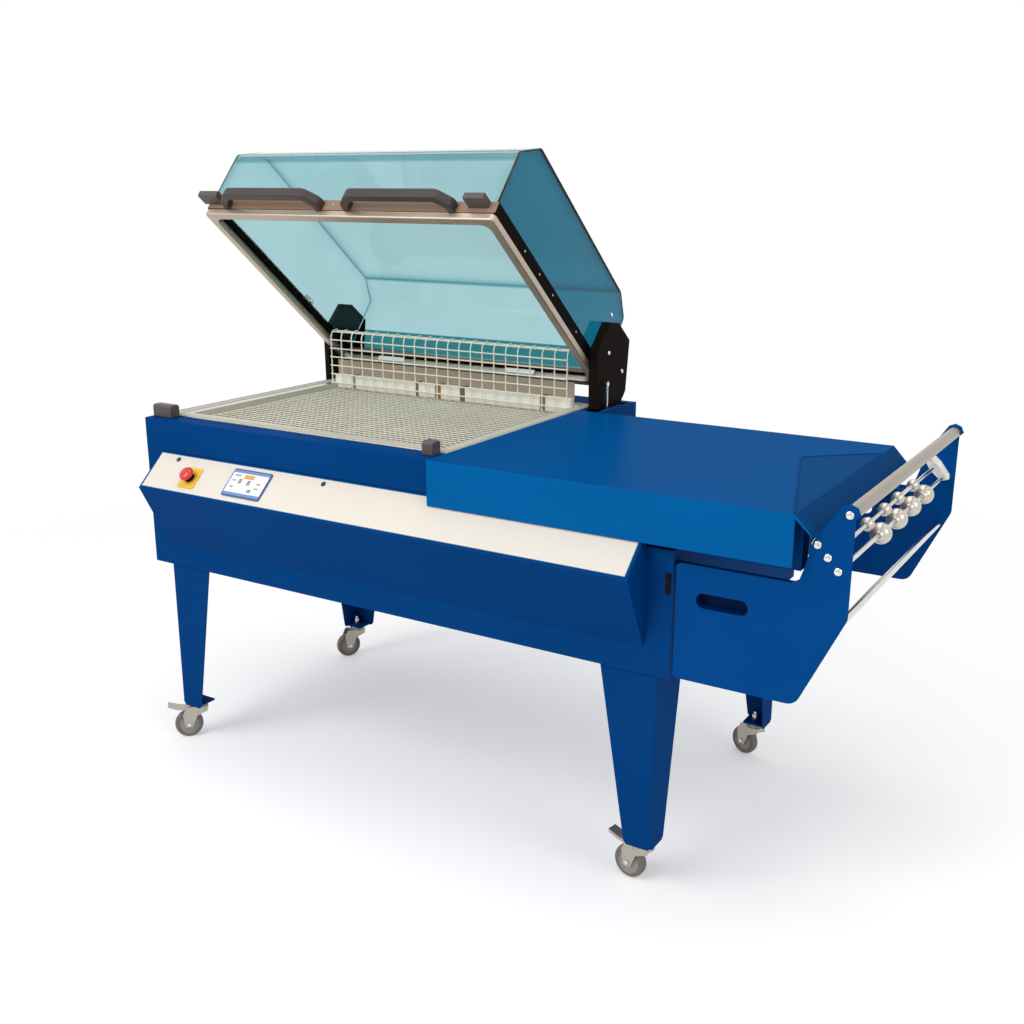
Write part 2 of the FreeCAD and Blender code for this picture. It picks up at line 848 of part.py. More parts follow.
def makeWheel(corner, swivel):
    """A wheel turned about the y axis of its own outline, set on the fork's axle."""
    radius = dim.wheel_radius
    half = dim.wheel_width / 2
    bore = dim.axle_radius + dim.running_gap
    outline = [
        (bore, -half),
        (radius * 0.38, -half),
        (radius * 0.74, -half * 0.55),
        (radius * 0.8, -half),
        (radius, -half * 0.4),
        (radius, half * 0.4),
        (radius * 0.8, half),
        (radius * 0.74, half * 0.55),
        (radius * 0.38, half),
        (bore, half),
    ]
    body = revolve("Wheel_" + corner, "xz", outline)
    upright = group("WheelUpright_" + corner, [body])
    place(body, dim.caster_trail, 0, radius, (1, 0, 0), 90)
    x, y = stemCentres[corner]
    keep("caster_wheel_" + corner, upright, x, y, 0, (0, 0, 1), swivel)


def makePedal(corner, swivel):
    """A bent brake pedal between the fork's cheeks, on a pin through both."""
    inner = dim.wheel_width / 2 + dim.free_gap * 2
    half = inner - dim.seat_gap
    body = newBody("Pedal_" + corner)
    start, middle = pedalPivot
    start = start - 5
    low = middle - 4
    length, rise = dim.pedal_length, dim.pedal_rise
    outline = [
        (start, low),
        (start + length * 0.6, low + rise * 0.35),
        (start + length, low + rise),
        (start + length, low + rise + 7),
        (start + length * 0.55, low + rise * 0.35 + 8),
        (start, low + 8),
    ]
    pad(body, f"PedalPlate_{corner}", "xz", -half, 2 * half, [outline])
    pad(body, f"PedalPin_{corner}", "xz", -inner - dim.fork_sheet,
        2 * inner + 2 * dim.fork_sheet, [("circle", *pedalPivot, dim.pedal_pin)])
    x, y = stemCentres[corner]
    keep("brake_pedal_" + corner, body, x, y, 0, (0, 0, 1), swivel)


# Chamber: a sheet well under a steel rim, with the mesh tray, insulating blocks and wire guard.
def makeChamber():
    sheet_gap = dim.well_sheet
    low = chamberFloor
    body = newBody("ChamberWell")
    rim_low = dim.cabinet_top
    outer = rectangle(wellLeft - sheet_gap, wellRight + sheet_gap, wellFront - sheet_gap,
                      dim.chamber_back + sheet_gap)
    pad(body, "WellBlock", "xy", low, rim_low - low, [outer])
    rim = rectangle(dim.rim_left, dim.rim_right, dim.rim_front, dim.rim_back)
    pad(body, "WellRim", "xy", rim_low, dim.rim_sheet, [rim])
    notch = rectangle(dim.rim_left - 5, dim.hood_left + dim.free_gap, dim.hinge_slot_front,
                      dim.rim_back + 5)
    pocket(body, "RimNotch", "xy", rim_low, dim.rim_sheet + 5, [notch])
    inner = rectangle(wellLeft, wellRight, wellFront, dim.chamber_back)
    pocket(body, "WellHollow", "xy", low + sheet_gap, rim_low + dim.rim_sheet + 10 - low, [inner])
    ledge = 10
    ledge_low = dim.tray_top - dim.tray_bar - 4
    ring = rectangle(wellLeft + ledge, wellRight - ledge, wellFront + ledge,
                     dim.chamber_back - ledge)
    pad(body, "WellLedge", "xy", ledge_low, 4, [outer, ring])
    hole = [("circle", dim.fan_x, dim.fan_y, dim.fan_hub / 2)]
    pocket(body, "FanHole", "xy", low - 5, 20, hole)
    keep("chamber_well", body)

    pad_body = newBody("SealPad")
    edge = 4
    outer = rectangle(dim.rim_left + edge, dim.rim_right - edge, dim.rim_front + edge,
                      dim.rim_back - edge)
    width = dim.pad_width + edge
    inner = rectangle(dim.rim_left + width, dim.rim_right - width, dim.rim_front + width,
                      dim.rim_back - width)
    pad(pad_body, "SealPadRing", "xy", rim_low + dim.rim_sheet, dim.pad_height, [outer, inner])
    keep("seal_pad", pad_body)


def makeMeshTray():
    gap = dim.free_gap
    left, right = wellLeft + gap, wellRight - gap
    front, back = wellFront + gap, dim.chamber_back - gap
    low = dim.tray_top - dim.tray_bar
    bar = 12
    ends = {"Front": (front, front + bar), "Back": (back - bar, back)}
    sides = {"Left": (left, left + bar), "Right": (right - bar, right)}
    rise = (low, dim.tray_top)
    parts = []
    for side, depth in ends.items():
        parts.append(box(f"TrayBar{side}", (left, right), depth, rise))
    for side, across in sides.items():
        parts.append(box(f"TrayBar{side}", across, (front + bar, back - bar), rise))
    wire = dim.mesh_wire
    middle = dim.tray_top - dim.tray_bar / 2
    across = int((right - left - 2 * bar).value / dim.mesh_pitch.value)
    for step in range(1, across):
        start = left + bar + dim.mesh_pitch * step
        parts.append(box(f"MeshLong{step}", (start, start + wire), (front + bar, back - bar),
                         (middle, middle + wire)))
    deep = int((back - front - 2 * bar).value / dim.mesh_pitch.value)
    for step in range(1, deep):
        start = front + bar + dim.mesh_pitch * step
        parts.append(box(f"MeshCross{step}", (left + bar, right - bar), (start, start + wire),
                         (middle - wire, middle)))
    keep("mesh_tray", group("MeshTray", parts))


# Where each block starts and ends, as shares of the row. The posts of the chamber show between them.
blockRuns = [(0.0, 0.077), (0.093, 0.367), (0.381, 0.453), (0.478, 0.557), (0.58, 0.883),
             (0.903, 1.0)]


def makeRearPieces():
    left, right = wellLeft + 4, wellRight - 4
    length = right - left
    back = dim.chamber_back - dim.seat_gap
    low = dim.tray_top
    blocks = []
    for number, (start, end) in enumerate(blockRuns):
        start, end = left + 3 + length * start, left + 3 + length * end
        blocks.append(box(f"Block{number}", (start, end),
                          (back - dim.block_depth, back), (low, low + dim.block_height)))
    # a thin sheet stands on the rim behind the blocks
    rim_high = dim.cabinet_top + dim.rim_sheet
    blocks.append(box("RearPlate", (left, right),
                      (dim.chamber_back, dim.chamber_back + dim.well_sheet),
                      (rim_high, rim_high + dim.rear_plate_rise)))
    keep("insulating_blocks", group("InsulatingBlocks", blocks))

    wire = dim.guard_wire
    guard_y = dim.guard_y
    bend = dim.guard_bend
    high = dim.guard_top
    upright = [
        (guard_y, low),
        (guard_y + wire, low),
        (guard_y + wire, high - bend * 0.5),
        (guard_y + bend * 0.45, high - wire),
        (guard_y + bend, high - wire),
        (guard_y + bend, high),
        (guard_y + bend * 0.3, high),
        (guard_y, high - bend * 0.45),
    ]
    parts = []
    count = int((length - wire).value / dim.guard_pitch.value)
    for step in range(count + 1):
        start = left + dim.guard_pitch * step
        body = newBody(f"GuardUpright{step}")
        pad(body, f"GuardWire{step}", "yz", start, wire, [upright])
        parts.append(body)
    rows = int((high - low - bend).value / dim.guard_row.value)
    ends = (left, left + dim.guard_pitch * count + wire)
    for row in range(rows + 1):
        height = low + 4 + dim.guard_row * row
        parts.append(box(f"GuardRow{row}", ends, (guard_y - wire, guard_y),
                         (height, height + wire)))
    parts.append(box("GuardEdge", ends, (guard_y + bend - wire, guard_y + bend),
                     (high, high + wire)))
    keep("wire_guard", group("WireGuard", parts))


posts = {"left": (11, 69), "right": (920, 33)}
catches = {"left": (11, 69), "right": (895, 58)}


def makePosts():
    parts = []
    for side, (left, length) in posts.items():
        body = newBody("Post" + side)
        right = toSize(left) + length
        y = dim.post_front
        pad(body, f"PostBlock{side}", "xy", dim.cabinet_top, dim.post_height,
            [rectangle(left, right, y, y + dim.post_depth)])
        top = dim.cabinet_top + dim.post_height
        roundEdges(body, f"PostEdge{side}", "x", [(y, top), (y + dim.post_depth, top)], 8)
        parts.append(body)
    keep("catch_posts", group("CatchPosts", parts))


# Hood: drawn closed about its pivot. y is negative towards the front.
hoodFrontY = -dim.hood_front
hoodBackY = -dim.hood_back
barTop = dim.seal_bar_height - dim.hood_bottom
frameTop = barTop + dim.frame_height


def makeHoodFrame():
    bar = newBody("HoodSealBar")
    outer = rectangle(dim.hood_left, dim.hood_right, hoodFrontY, hoodBackY)
    width = dim.seal_bar_width
    inner = rectangle(dim.hood_left + width, dim.hood_right - width, hoodFrontY + width,
                      hoodBackY - width)
    pad(bar, "SealBarRing", "xy", -dim.hood_bottom, dim.seal_bar_height, [outer, inner])
    keepOnHood("hood_seal_bar", bar)

    frame = newBody("HoodFrame")
    width = dim.frame_width
    inner = rectangle(dim.hood_left + width, dim.hood_right - width, hoodFrontY + width,
                      hoodBackY - width)
    pad(frame, "FrameRing", "xy", barTop, dim.frame_height, [outer, inner])
    # the frame is an angle profile: its inner half is cut away above the flange
    wall = dim.frame_sheet
    above = rectangle(dim.hood_left + wall, dim.hood_right - wall, hoodFrontY + wall,
                      hoodBackY - wall)
    pocket(frame, "FrameAngle", "xy", barTop + wall, dim.frame_height, [above])
    keepOnHood("hood_frame", frame)


def coverSide(inset):
    """The cover's side view: upright front, chamfer, flat top, rear chamfer, upright back."""
    inset = toSize(inset)
    front = hoodFrontY + dim.cover_inset + inset
    back = hoodBackY - dim.cover_inset - inset
    top = coverTop - inset
    slack = inset * 0.42
    return [
        (front, frameTop),
        (front, coverTop - dim.cover_chamfer - slack),
        (front + dim.cover_chamfer - slack, top),
        (back - dim.cover_chamfer + slack, top),
        (back, coverTop - dim.rear_chamfer - slack),
        (back, frameTop),
    ]


def makeCover():
    body = newBody("HoodCover")
    left = dim.hood_left + dim.cover_inset
    length = dim.hood_right - dim.hood_left - 2 * dim.cover_inset
    pad(body, "CoverBlock", "yz", left, length, [coverSide(0)])
    wall = dim.cover_sheet
    pocket(body, "CoverHollow", "yz", left + wall, length - 2 * wall,
           [[(y, z - 10) if z.value == frameTop.value else (y, z) for y, z in coverSide(wall)]])
    keepOnHood("hood_cover", body)


def makeHandle(label, left):
    """A grip bar on two feet, with its outer corners cut at 45 degrees."""
    left = toSize(left)
    right = left + dim.handle_length
    bar = dim.handle_bar
    reach = dim.handle_reach
    slant = reach * 0.58
    inner_slant = slant - bar * 0.6
    out = hoodFrontY - reach
    outline = [
        (left, hoodFrontY),
        (left, out + slant),
        (left + slant, out),
        (right - slant, out),
        (right, out + slant),
        (right, hoodFrontY),
        (right - bar, hoodFrontY),
        (right - bar, out + bar + inner_slant),
        (right - bar - inner_slant, out + bar),
        (left + bar + inner_slant, out + bar),
        (left + bar, out + bar + inner_slant),
        (left + bar, hoodFrontY),
    ]
    body = newBody("Handle_" + label)
    low = frameTop - dim.handle_thickness - dim.handle_drop
    pad(body, f"HandleBar_{label}", "xy", low, dim.handle_thickness, [outline])
    corners = [(left + slant, out), (right - slant, out), (left, out + slant), (right, out + slant)]
    roundEdges(body, f"HandleCorner_{label}", "z", corners, 10)
    keepOnHood("hood_handle_" + label, body)


def makeCatches():
    """Steel blocks on the frame's front that close on the catch posts."""
    top_of_post = dim.cabinet_top + dim.post_height
    low = top_of_post + dim.free_gap - dim.pivot_z
    parts = []
    for side, (left, length) in catches.items():
        front = dim.post_front - dim.pivot_y
        start = toSize(left)
        parts.append(box("Catch" + side, (start, start + length), (front, hoodFrontY),
                         (low, low + dim.catch_thickness)))
    keepOnHood("hood_catches", group("HoodCatches", parts))


# The bracket's outline, closed, from the pivot. It follows the hood's side up to the rear chamfer.
bracketOutline = [(-94, -94), (-201, 30), (-192, 136), (-149, 164), (-58, 167), (22, 42), (18, -14)]


def insetOutline(points, wall):
    """Moves every side of a convex outline, drawn clockwise, inwards by a wall."""
    moved = []
    count = len(points)
    for index in range(count):
        before, here, after = points[index - 1], points[index], points[(index + 1) % count]
        first = (here[0] - before[0], here[1] - before[1])
        second = (after[0] - here[0], after[1] - here[1])
        lengths = math.hypot(*first), math.hypot(*second)
        normals = [(side[1] / size, -side[0] / size) for side, size in zip((first, second), lengths)]
        share = 1 + normals[0][0] * normals[1][0] + normals[0][1] * normals[1][1]
        shift = [(normals[0][axis] + normals[1][axis]) / share for axis in (0, 1)]
        moved.append((toSize(here[0]) + wall * shift[0], toSize(here[1]) + wall * shift[1]))
    return moved


def makeBrackets():
    sides = {"right": (dim.hood_right, dim.right_bracket, 1),
             "left": (dim.hood_left - dim.left_bracket, dim.left_bracket, -1)}
    wall = dim.bracket_sheet
    inner = insetOutline(bracketOutline, wall)
    for side, (low, depth, way) in sides.items():
        body = newBody("HingeBracket_" + side)
        pad(body, f"BracketBlock_{side}", "yz", low, depth, [bracketOutline])
        start = low - 1 if way > 0 else low + wall
        pocket(body, f"BracketTray_{side}", "yz", start, depth + 1 - wall, [inner])
        keepOnHood("hinge_bracket_" + side, body)
    pins = []
    bearings = []
    base = dim.cabinet_top
    for side, (low, depth, way) in sides.items():
        outer = low + depth - wall if way > 0 else low + wall
        reach = dim.bearing_width + depth + 4
        start = outer - reach if way > 0 else outer
        pins.append(cylinder("HingePin" + side, "x", (start, 0, 0), dim.pin_radius, reach))
        block_low = start if way > 0 else start + reach - dim.bearing_width
        block = newBody("HingeBearing_" + side)
        half = dim.bearing_radius
        y, z = dim.pivot_y, dim.pivot_z
        outline = [(y - half, base), (y - half, z + half * 0.4), (y - half * 0.4, z + half),
                   (y + half * 0.4, z + half), (y + half, z + half * 0.4), (y + half, base)]
        hole = ("circle", y, z, dim.pin_radius + dim.running_gap)
        pad(block, f"BearingBlock_{side}", "yz", block_low, dim.bearing_width, [outline, hole])
        bearings.append(block)
    # the stud that holds the strut's eye, at the eye's place in the open pose
    aside, above = dim.strut_y - dim.pivot_y, dim.strut_top - dim.pivot_z
    stud_y = aside * cosine(dim.open_angle) - above * sine(dim.open_angle)
    stud_z = aside * sine(dim.open_angle) + above * cosine(dim.open_angle)
    start = dim.hood_right + dim.right_bracket
    reach = dim.strut_x - dim.strut_eye / 2 - dim.seat_gap - start
    pins.append(cylinder("StrutStud", "x", (start, stud_y, stud_z), dim.strut_stud, reach))
    keepOnHood("hinge_pins", group("HingePins", pins))
    keep("hinge_bearings", group("HingeBearings", bearings))


def makeStrut():
    x, y = dim.strut_x, dim.strut_y
    bottom = dim.cabinet_base + 130
    mouth = dim.cabinet_top - 16
    bore = dim.strut_rod + dim.running_gap
    tube = cylinder("StrutTube", "z", (x, y, bottom), dim.strut_tube, mouth - bottom)
    bore_low = bottom + 10
    hollow = cylinder("StrutBore", "z", (x, y, bore_low), bore, dim.cabinet_top - bore_low)
    foot = box("StrutFoot", (x - 14, x + 14), (y - 12, y + 12),
               (dim.cabinet_base + dim.cabinet_sheet, bottom))
    keep("strut_cylinder", cut("StrutCylinder", fuse("StrutSolid", [tube, foot]), [hollow]))
    reach = dim.strut_top - bore_low - dim.strut_travel - 8
    rod = cylinder("StrutBar", "z", (x, y, dim.strut_top - reach), dim.strut_rod, reach)
    eye = cylinder("StrutEye", "x", (x - dim.strut_eye / 2, y, dim.strut_top),
                   dim.strut_stud + 2, dim.strut_eye)
    keep("strut_rod", fuse("StrutRod", [rod, eye]))


# Packing table: a folded box, open below and towards the hood, with a sloping flange at its end.
def makeTable():
    top = dim.table_top
    low = top - dim.table_skirt
    wall = dim.table_sheet
    front, back = -dim.table_front, dim.table_back
    left, right = dim.table_left, dim.table_right
    sheet_body = newBody("TableSheet")
    pad(sheet_body, "TableTop", "xy", top - wall, wall, [rectangle(left, right, front, back)])
    # the back skirt starts beside the tall part of the cabinet, which carries the table's left end
    beside = dim.tall_length + dim.seat_gap
    for side, start, end in (("Front", front, left), ("Back", back - wall, beside)):
        pad(sheet_body, f"TableSkirt{side}", "xz", start, wall, [rectangle(end, right, low, top)])
    out, drop = dim.flange_out, dim.flange_drop
    flange = [(right - wall, top), (right, top), (right + out, top - drop),
              (right + out - 2, top - drop - 2), (right - wall, top - wall - 2)]
    pad(sheet_body, "TableFlange", "xz", front, back - front, [flange])
    inner = (front + dim.table_front + dim.rail_width + 14, back - dim.rail_width - 28)
    pad(sheet_body, "TableSkirtRight", "yz", right - wall, wall, [rectangle(*inner, low, top)])
    # the raised corner facet: a triangle whose base is the table's right edge
    apex = (right - dim.facet_reach, dim.facet_y)
    facet = [(right, front + 2), (right, dim.facet_far), apex]
    pad(sheet_body, "TableFacet", "xy", top, dim.facet_height, [facet])
    roundEdges(sheet_body, "TableFacetTip", "z", [apex], dim.facet_round)
    keep("packing_table", sheet_body)

    rails = []
    for side, start in (("Front", toSize(10)), ("Back", back - dim.rail_width - 26)):
        body = newBody("TableRail" + side)
        base = dim.low_top
        width, thin = dim.rail_width, dim.rail_sheet
        left_end = dim.tall_length + 8
        outer = rectangle(start, start + width, base, top - wall)
        inside = rectangle(start + thin, start + width - thin, base + thin, top - wall - thin)
        pad(body, f"TableRailTube{side}", "yz", left_end, right + dim.rail_reach - left_end,
            [outer, inside])
        edge = right - wall - dim.seat_gap
        under = top - wall - 2 - dim.seat_gap
        tip = [(edge, top), (edge, under), (right + out, under - drop), (right + out, top)]
        pocket(body, f"TableRailTip{side}", "xz", start - 1, width + 2, [tip])
        rails.append(body)
    keep("table_rails", group("TableRails", rails))


# Film carriage: two side plates joined by a tie rod and slide tubes, with a roller and ball shafts.
def plateOutline():
    left, right = dim.plate_left, dim.plate_right
    horn_x, horn_z, horn = dim.roller_x, dim.roller_z, dim.horn_radius
    return [
        (left, dim.plate_low),
        (dim.plate_slant_x, dim.plate_low),
        (right, dim.plate_slant_z),
        (right, horn_z - horn * 0.4),
        (horn_x + horn, horn_z),
        (horn_x + horn * 0.7, horn_z + horn * 0.7),
        (horn_x, horn_z + horn),
        (horn_x - horn * 0.7, horn_z + horn * 0.7),
        (dim.plain_rod_x - 9, dim.plain_rod_z + 5),
        (dim.plain_rod_x - 20, dim.plain_rod_z - 44),
        (dim.plain_rod_x - 31, dim.plate_step_z + 9),
        (dim.plain_rod_x - 46, dim.plate_step_z),
        (left, dim.plate_step_z),
    ]


handSlot = {"x": 1691, "z": 726, "length": 114, "height": 33}


def makePlate(side, start):
    body = newBody("CarriagePlate_" + side)
    bores = [("circle", dim.roller_x, dim.roller_z, dim.roller_axle)]
    pad(body, f"PlateSheet_{side}", "xz", start, dim.plate_sheet, [plateOutline()] + bores)
    corners = [(dim.plate_slant_x, dim.plate_low), (dim.plate_right, dim.plate_slant_z)]
    roundEdges(body, f"PlateCorner_{side}", "y", corners, 30)
    corners = [(dim.plate_left, dim.plate_low), (dim.plate_left, dim.plate_step_z)]
    roundEdges(body, f"PlateHeel_{side}", "y", corners, 10)
    half = handSlot["height"] / 2
    left = handSlot["x"] - handSlot["length"] / 2
    right = handSlot["x"] + handSlot["length"] / 2
    low, high = handSlot["z"] - half, handSlot["z"] + half
    pocket(body, f"HandSlot_{side}", "xz", start - 5, dim.plate_sheet + 10,
           [rectangle(left, right, low, high)])
    roundEdges(body, f"HandSlotEnds_{side}", "y",
               [(left, low), (left, high), (right, low), (right, high)], half - 0.5)
    keep("carriage_plate_" + side, body)


insideFront = tubeSeat["front"]
insideBack = tubeSeat["back"]


def ballOutline(radius, bore):
    """Half of a ball wheel: a round tread with short cone hubs, from its bore outwards."""
    hub = bore + 3
    points = [(bore, -radius * 0.95), (hub, -radius * 0.95)]
    for degrees in (-52, -18, 18, 52):
        angle = math.radians(degrees)
        points.append((radius * math.cos(angle), radius * math.sin(angle)))
    points += [(hub, radius * 0.95), (bore, radius * 0.95)]
    return points


def makeBalls(label, key, x, z):
    parts = []
    radius = getattr(dim, key)
    bore = dim.shaft_radius + dim.running_gap
    for number in range(1, 5):
        y = getattr(dim, f"{key}_{number}")
        ball = revolve(f"{key}_{number}_ball", "xz", ballOutline(radius, bore))
        place(ball, x, y, z, (1, 0, 0), 90)
        parts.append(ball)
    keep(label, group(key + "_group", parts))


def makeCarriage():
    for side, start in (("front", dim.plate_front), ("back", insideBack)):
        makePlate(side, start)
    gap = dim.seat_gap
    length = insideBack - insideFront - 2 * gap
    start = insideFront + gap
    tube = cylinder("RollerTube", "y", (dim.roller_x, start, dim.roller_z), dim.roller_radius, length)
    bore = cylinder("RollerBore", "y", (dim.roller_x, start - 5, dim.roller_z),
                    dim.roller_axle + dim.running_gap, length + 10)
    keep("top_roller", cut("TopRoller", tube, [bore]))
    shafts = {
        "upper_shaft": (dim.upper_shaft_x, dim.upper_shaft_z),
        "lower_shaft": (dim.lower_shaft_x, dim.lower_shaft_z),
        "plain_rod": (dim.plain_rod_x, dim.plain_rod_z),
    }
    for label, (x, z) in shafts.items():
        rod = cylinder(label + "_bar", "y", (x, start, z), dim.shaft_radius, length)
        keep(label, group(label + "_group", [rod]))
    makeBalls("small_ball_wheels", "small_ball", dim.upper_shaft_x, dim.upper_shaft_z)
    makeBalls("large_ball_wheels", "large_ball", dim.lower_shaft_x, dim.lower_shaft_z)
    tie = cylinder("TieBar", "y", (dim.tie_x, insideFront, dim.tie_z), dim.tie_radius,
                   insideBack - insideFront)
    keep("tie_rod", group("TieRod", [tie]))

    combs = []
    for side, low in (("Front", insideFront), ("Back", insideBack - dim.comb_sheet)):
        comb = newBody("Comb" + side)
        around = 13
        upper_x, upper_z = dim.upper_shaft_x, dim.upper_shaft_z
        lower_x, lower_z = dim.lower_shaft_x, dim.lower_shaft_z
        plain_x, plain_z = dim.plain_rod_x, dim.plain_rod_z
        outline = [
            (plain_x - around, plain_z),
            (upper_x - around, upper_z - around),
            (lower_x - around * 0.5, lower_z - around),
            (lower_x + around, lower_z - around * 0.5),
            (lower_x + around, lower_z + around * 0.4),
            (upper_x + around * 0.9, upper_z + around * 0.9),
            (plain_x + around * 0.5, plain_z + around),
            (plain_x - around * 0.6, plain_z + around * 0.8),
        ]
        holes = [("circle", x, z, dim.shaft_radius + dim.running_gap) for x, z in shafts.values()]
        pad(comb, f"CombPlate{side}", "xz", low, dim.comb_sheet, [outline] + holes)
        combs.append(comb)
    keep("film_combs", group("FilmCombs", combs))

    bolts = []
    spots = list(shafts.values()) + [(dim.roller_x, dim.roller_z)]
    for number, (x, z) in enumerate(spots):
        for side, low in (("F", dim.plate_front - dim.bolt_height), ("B", plateBack)):
            bolts.append(cylinder(f"Bolt{side}{number}", "y", (x, low, z), dim.bolt_head,
                                  dim.bolt_height))
    bolts.append(cylinder("RollerAxle", "y", (dim.roller_x, dim.plate_front, dim.roller_z),
                          dim.roller_axle, plateBack - dim.plate_front))
    keep("carriage_bolts", group("CarriageBolts", bolts))

    tubes = []
    guides = []
    for side, (low, high) in tubeRows.items():
        tube = newBody("SlideTube_" + side)
        thin = dim.rail_sheet
        outer = rectangle(low, high, dim.slide_tube_low, tubeHigh)
        inner = rectangle(low + thin, high - thin, dim.slide_tube_low + thin, tubeHigh - thin)
        pad(tube, f"SlideTubeWall_{side}", "yz", dim.slide_tube_start,
            dim.plate_slant_x - 20 - dim.slide_tube_start, [outer, inner])
        tubes.append(tube)
        guide = newBody("SlideGuide_" + side)
        slack = dim.seat_gap
        # the guide is a channel on the end wall, open towards the side that the tube runs along
        way = (low - slack, high + slack)
        rise = (dim.slide_tube_low - slack, tubeHigh + slack)
        jaw = dim.guide_jaw
        walls = (way[0], way[1] + jaw) if side == "front" else (way[0] - jaw, way[1])
        outer = rectangle(*walls, rise[0] - jaw, rise[1] + jaw)
        end = dim.cabinet_length - dim.cabinet_sheet
        start = end - dim.guide_length
        pad(guide, f"SlideGuideBlock_{side}", "yz", start, dim.guide_length, [outer])
        pocket(guide, f"SlideGuideWay_{side}", "yz", start - 20, dim.guide_length + 40,
               [rectangle(*way, *rise)])
        guides.append(guide)
    keep("carriage_tubes", group("CarriageTubes", tubes))
    keep("carriage_guides", group("CarriageGuides", guides))


def makeLock():
    """A flat lever on the cabinet's right front strip, hanging from its pivot."""
    body = newBody("LockLever")
    x, z = dim.lock_x, dim.lock_z
    half = 5
    thick = 4
    outline = rectangle(x - half, x + half, z - dim.lock_drop, z + half)
    pad(body, "LockBlade", "xz", -thick - dim.seat_gap, thick, [outline])
    pad(body, "LockKnob", "xz", -thick - half - dim.seat_gap, thick + half,
        [("circle", x, z, half)])
    keep("carriage_lock", body)


# Circulation fan, heater and controls inside the cabinet.
def makeDrive():
    x, y = dim.fan_x, dim.fan_y
    floor = chamberFloor
    low = floor + dim.well_sheet + 10
    wheel = newBody("FanImpeller")
    pad(wheel, "FanDisc", "xy", low, dim.blade_sheet, [("circle", 0, 0, dim.fan_radius)])
    pad(wheel, "FanHub", "xy", low, dim.fan_height, [("circle", 0, 0, dim.fan_hub)])
    inner, outer = dim.fan_radius * 0.55, dim.fan_radius * 0.97
    lean = dim.fan_radius * 0.2
    blade = [(inner, 0), (outer, lean), (outer, lean + dim.blade_sheet), (inner, dim.blade_sheet)]
    feature = pad(wheel, "FanBlade", "xy", low, dim.fan_height, [blade])
    pattern = wheel.newObject("PartDesign::PolarPattern", "FanBlades")
    pattern.Originals = [feature]
    up = [item for item in wheel.Origin.OriginFeatures if item.Role == "Z_Axis"][0]
    pattern.Axis = (up, [""])
    pattern.Angle = 360
    pattern.Occurrences = int(dim.blade_count.value)
    wheel.Tip = pattern
    doc.recompute()
    pad(wheel, "FanShaft", "xy", floor - 60, low - floor + 62, [("circle", 0, 0, 8)])
    keep("fan_impeller", wheel, x, y, 0)

    motor_top = floor
    motor = newBody("FanMotor")
    height = dim.motor_height
    pad(motor, "MotorCan", "xy", motor_top - height, height - 6, [("circle", x, y, dim.motor_radius)])
    flange = dim.motor_radius + 14
    pad(motor, "MotorFlange", "xy", motor_top - 6, 6, [("circle", x, y, flange)])
    pocket(motor, "MotorBore", "xy", floor - 64, 80, [("circle", x, y, 8 + dim.running_gap)])
    keep("fan_motor", motor)

    rings = []
    tube = dim.heater_tube
    section = [(-1, 0), (0, -1), (1, 0), (0, 1)]
    outline = [(dim.heater_radius + tube * across, tube * up) for across, up in section]
    for turn in range(2):
        ring = revolve(f"HeaterRing{turn}", "xz", outline)
        rings.append(place(ring, x, y, low + dim.heater_lift + dim.heater_pitch * turn))
    for number, way in enumerate((-1, 1)):
        start = x + way * dim.heater_radius
        foot = floor + dim.well_sheet
        half = dim.heater_clip / 2
        head = low + dim.heater_lift + dim.heater_pitch + 2
        rings.append(box(f"HeaterClip{number}", (start - half, start + half), (y - half, y + half),
                         (foot, head)))
    keep("heater_coil", fuse("HeaterCoil", rings))

    base = dim.cabinet_base + dim.cabinet_sheet
    body = newBody("ControlBox")
    outline = rectangle(dim.control_left, dim.control_right, dim.control_front, dim.control_back)
    height = dim.slide_tube_low - dim.control_clearance - base
    pad(body, "ControlCase", "xy", base, height, [outline])
    keep("control_box", body)


def makeCasters():
    swivels = {corner: getattr(dim, "swivel_" + corner) for corner in legCorners}
    makeCasterMounts()
    for corner, swivel in swivels.items():
        makeFork(corner, swivel)
        makeWheel(corner, swivel)
    for corner in braked:
        makePedal(corner, swivels[corner])


def checkDocument():
    doc.recompute()
    for item in doc.Objects:
        if "Invalid" in item.State or "Error" in item.State:
            raise RuntimeError(f"{item.Label} failed: {item.State}")
    for item in nodes:
        if item.Shape.isNull() or not item.Shape.isValid() or not item.Shape.Solids:
            raise RuntimeError(f"{item.Label} has no valid solid")


makeCabinet()
makeUpperPanel()
makeConsole()
for legCorner in legCorners:
    makeLeg(legCorner)
makeCasters()
makeChamber()
makeMeshTray()
makeRearPieces()
makePosts()
makeHoodFrame()
makeCover()
makeHandle("left", dim.handle_left)
makeHandle("right", dim.second_handle)
makeCatches()
makeBrackets()
makeStrut()
makeTable()
makeCarriage()
makeLock()
makeDrive()
checkDocument()

os.makedirs("parts", exist_ok=True)
for item in nodes:
    item.Shape.exportStep(f"parts/{item.Label}.step")
print(len(nodes), "nodes written")
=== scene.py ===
import bmesh
import bpy
import json
import math
from mathutils import Matrix, Vector

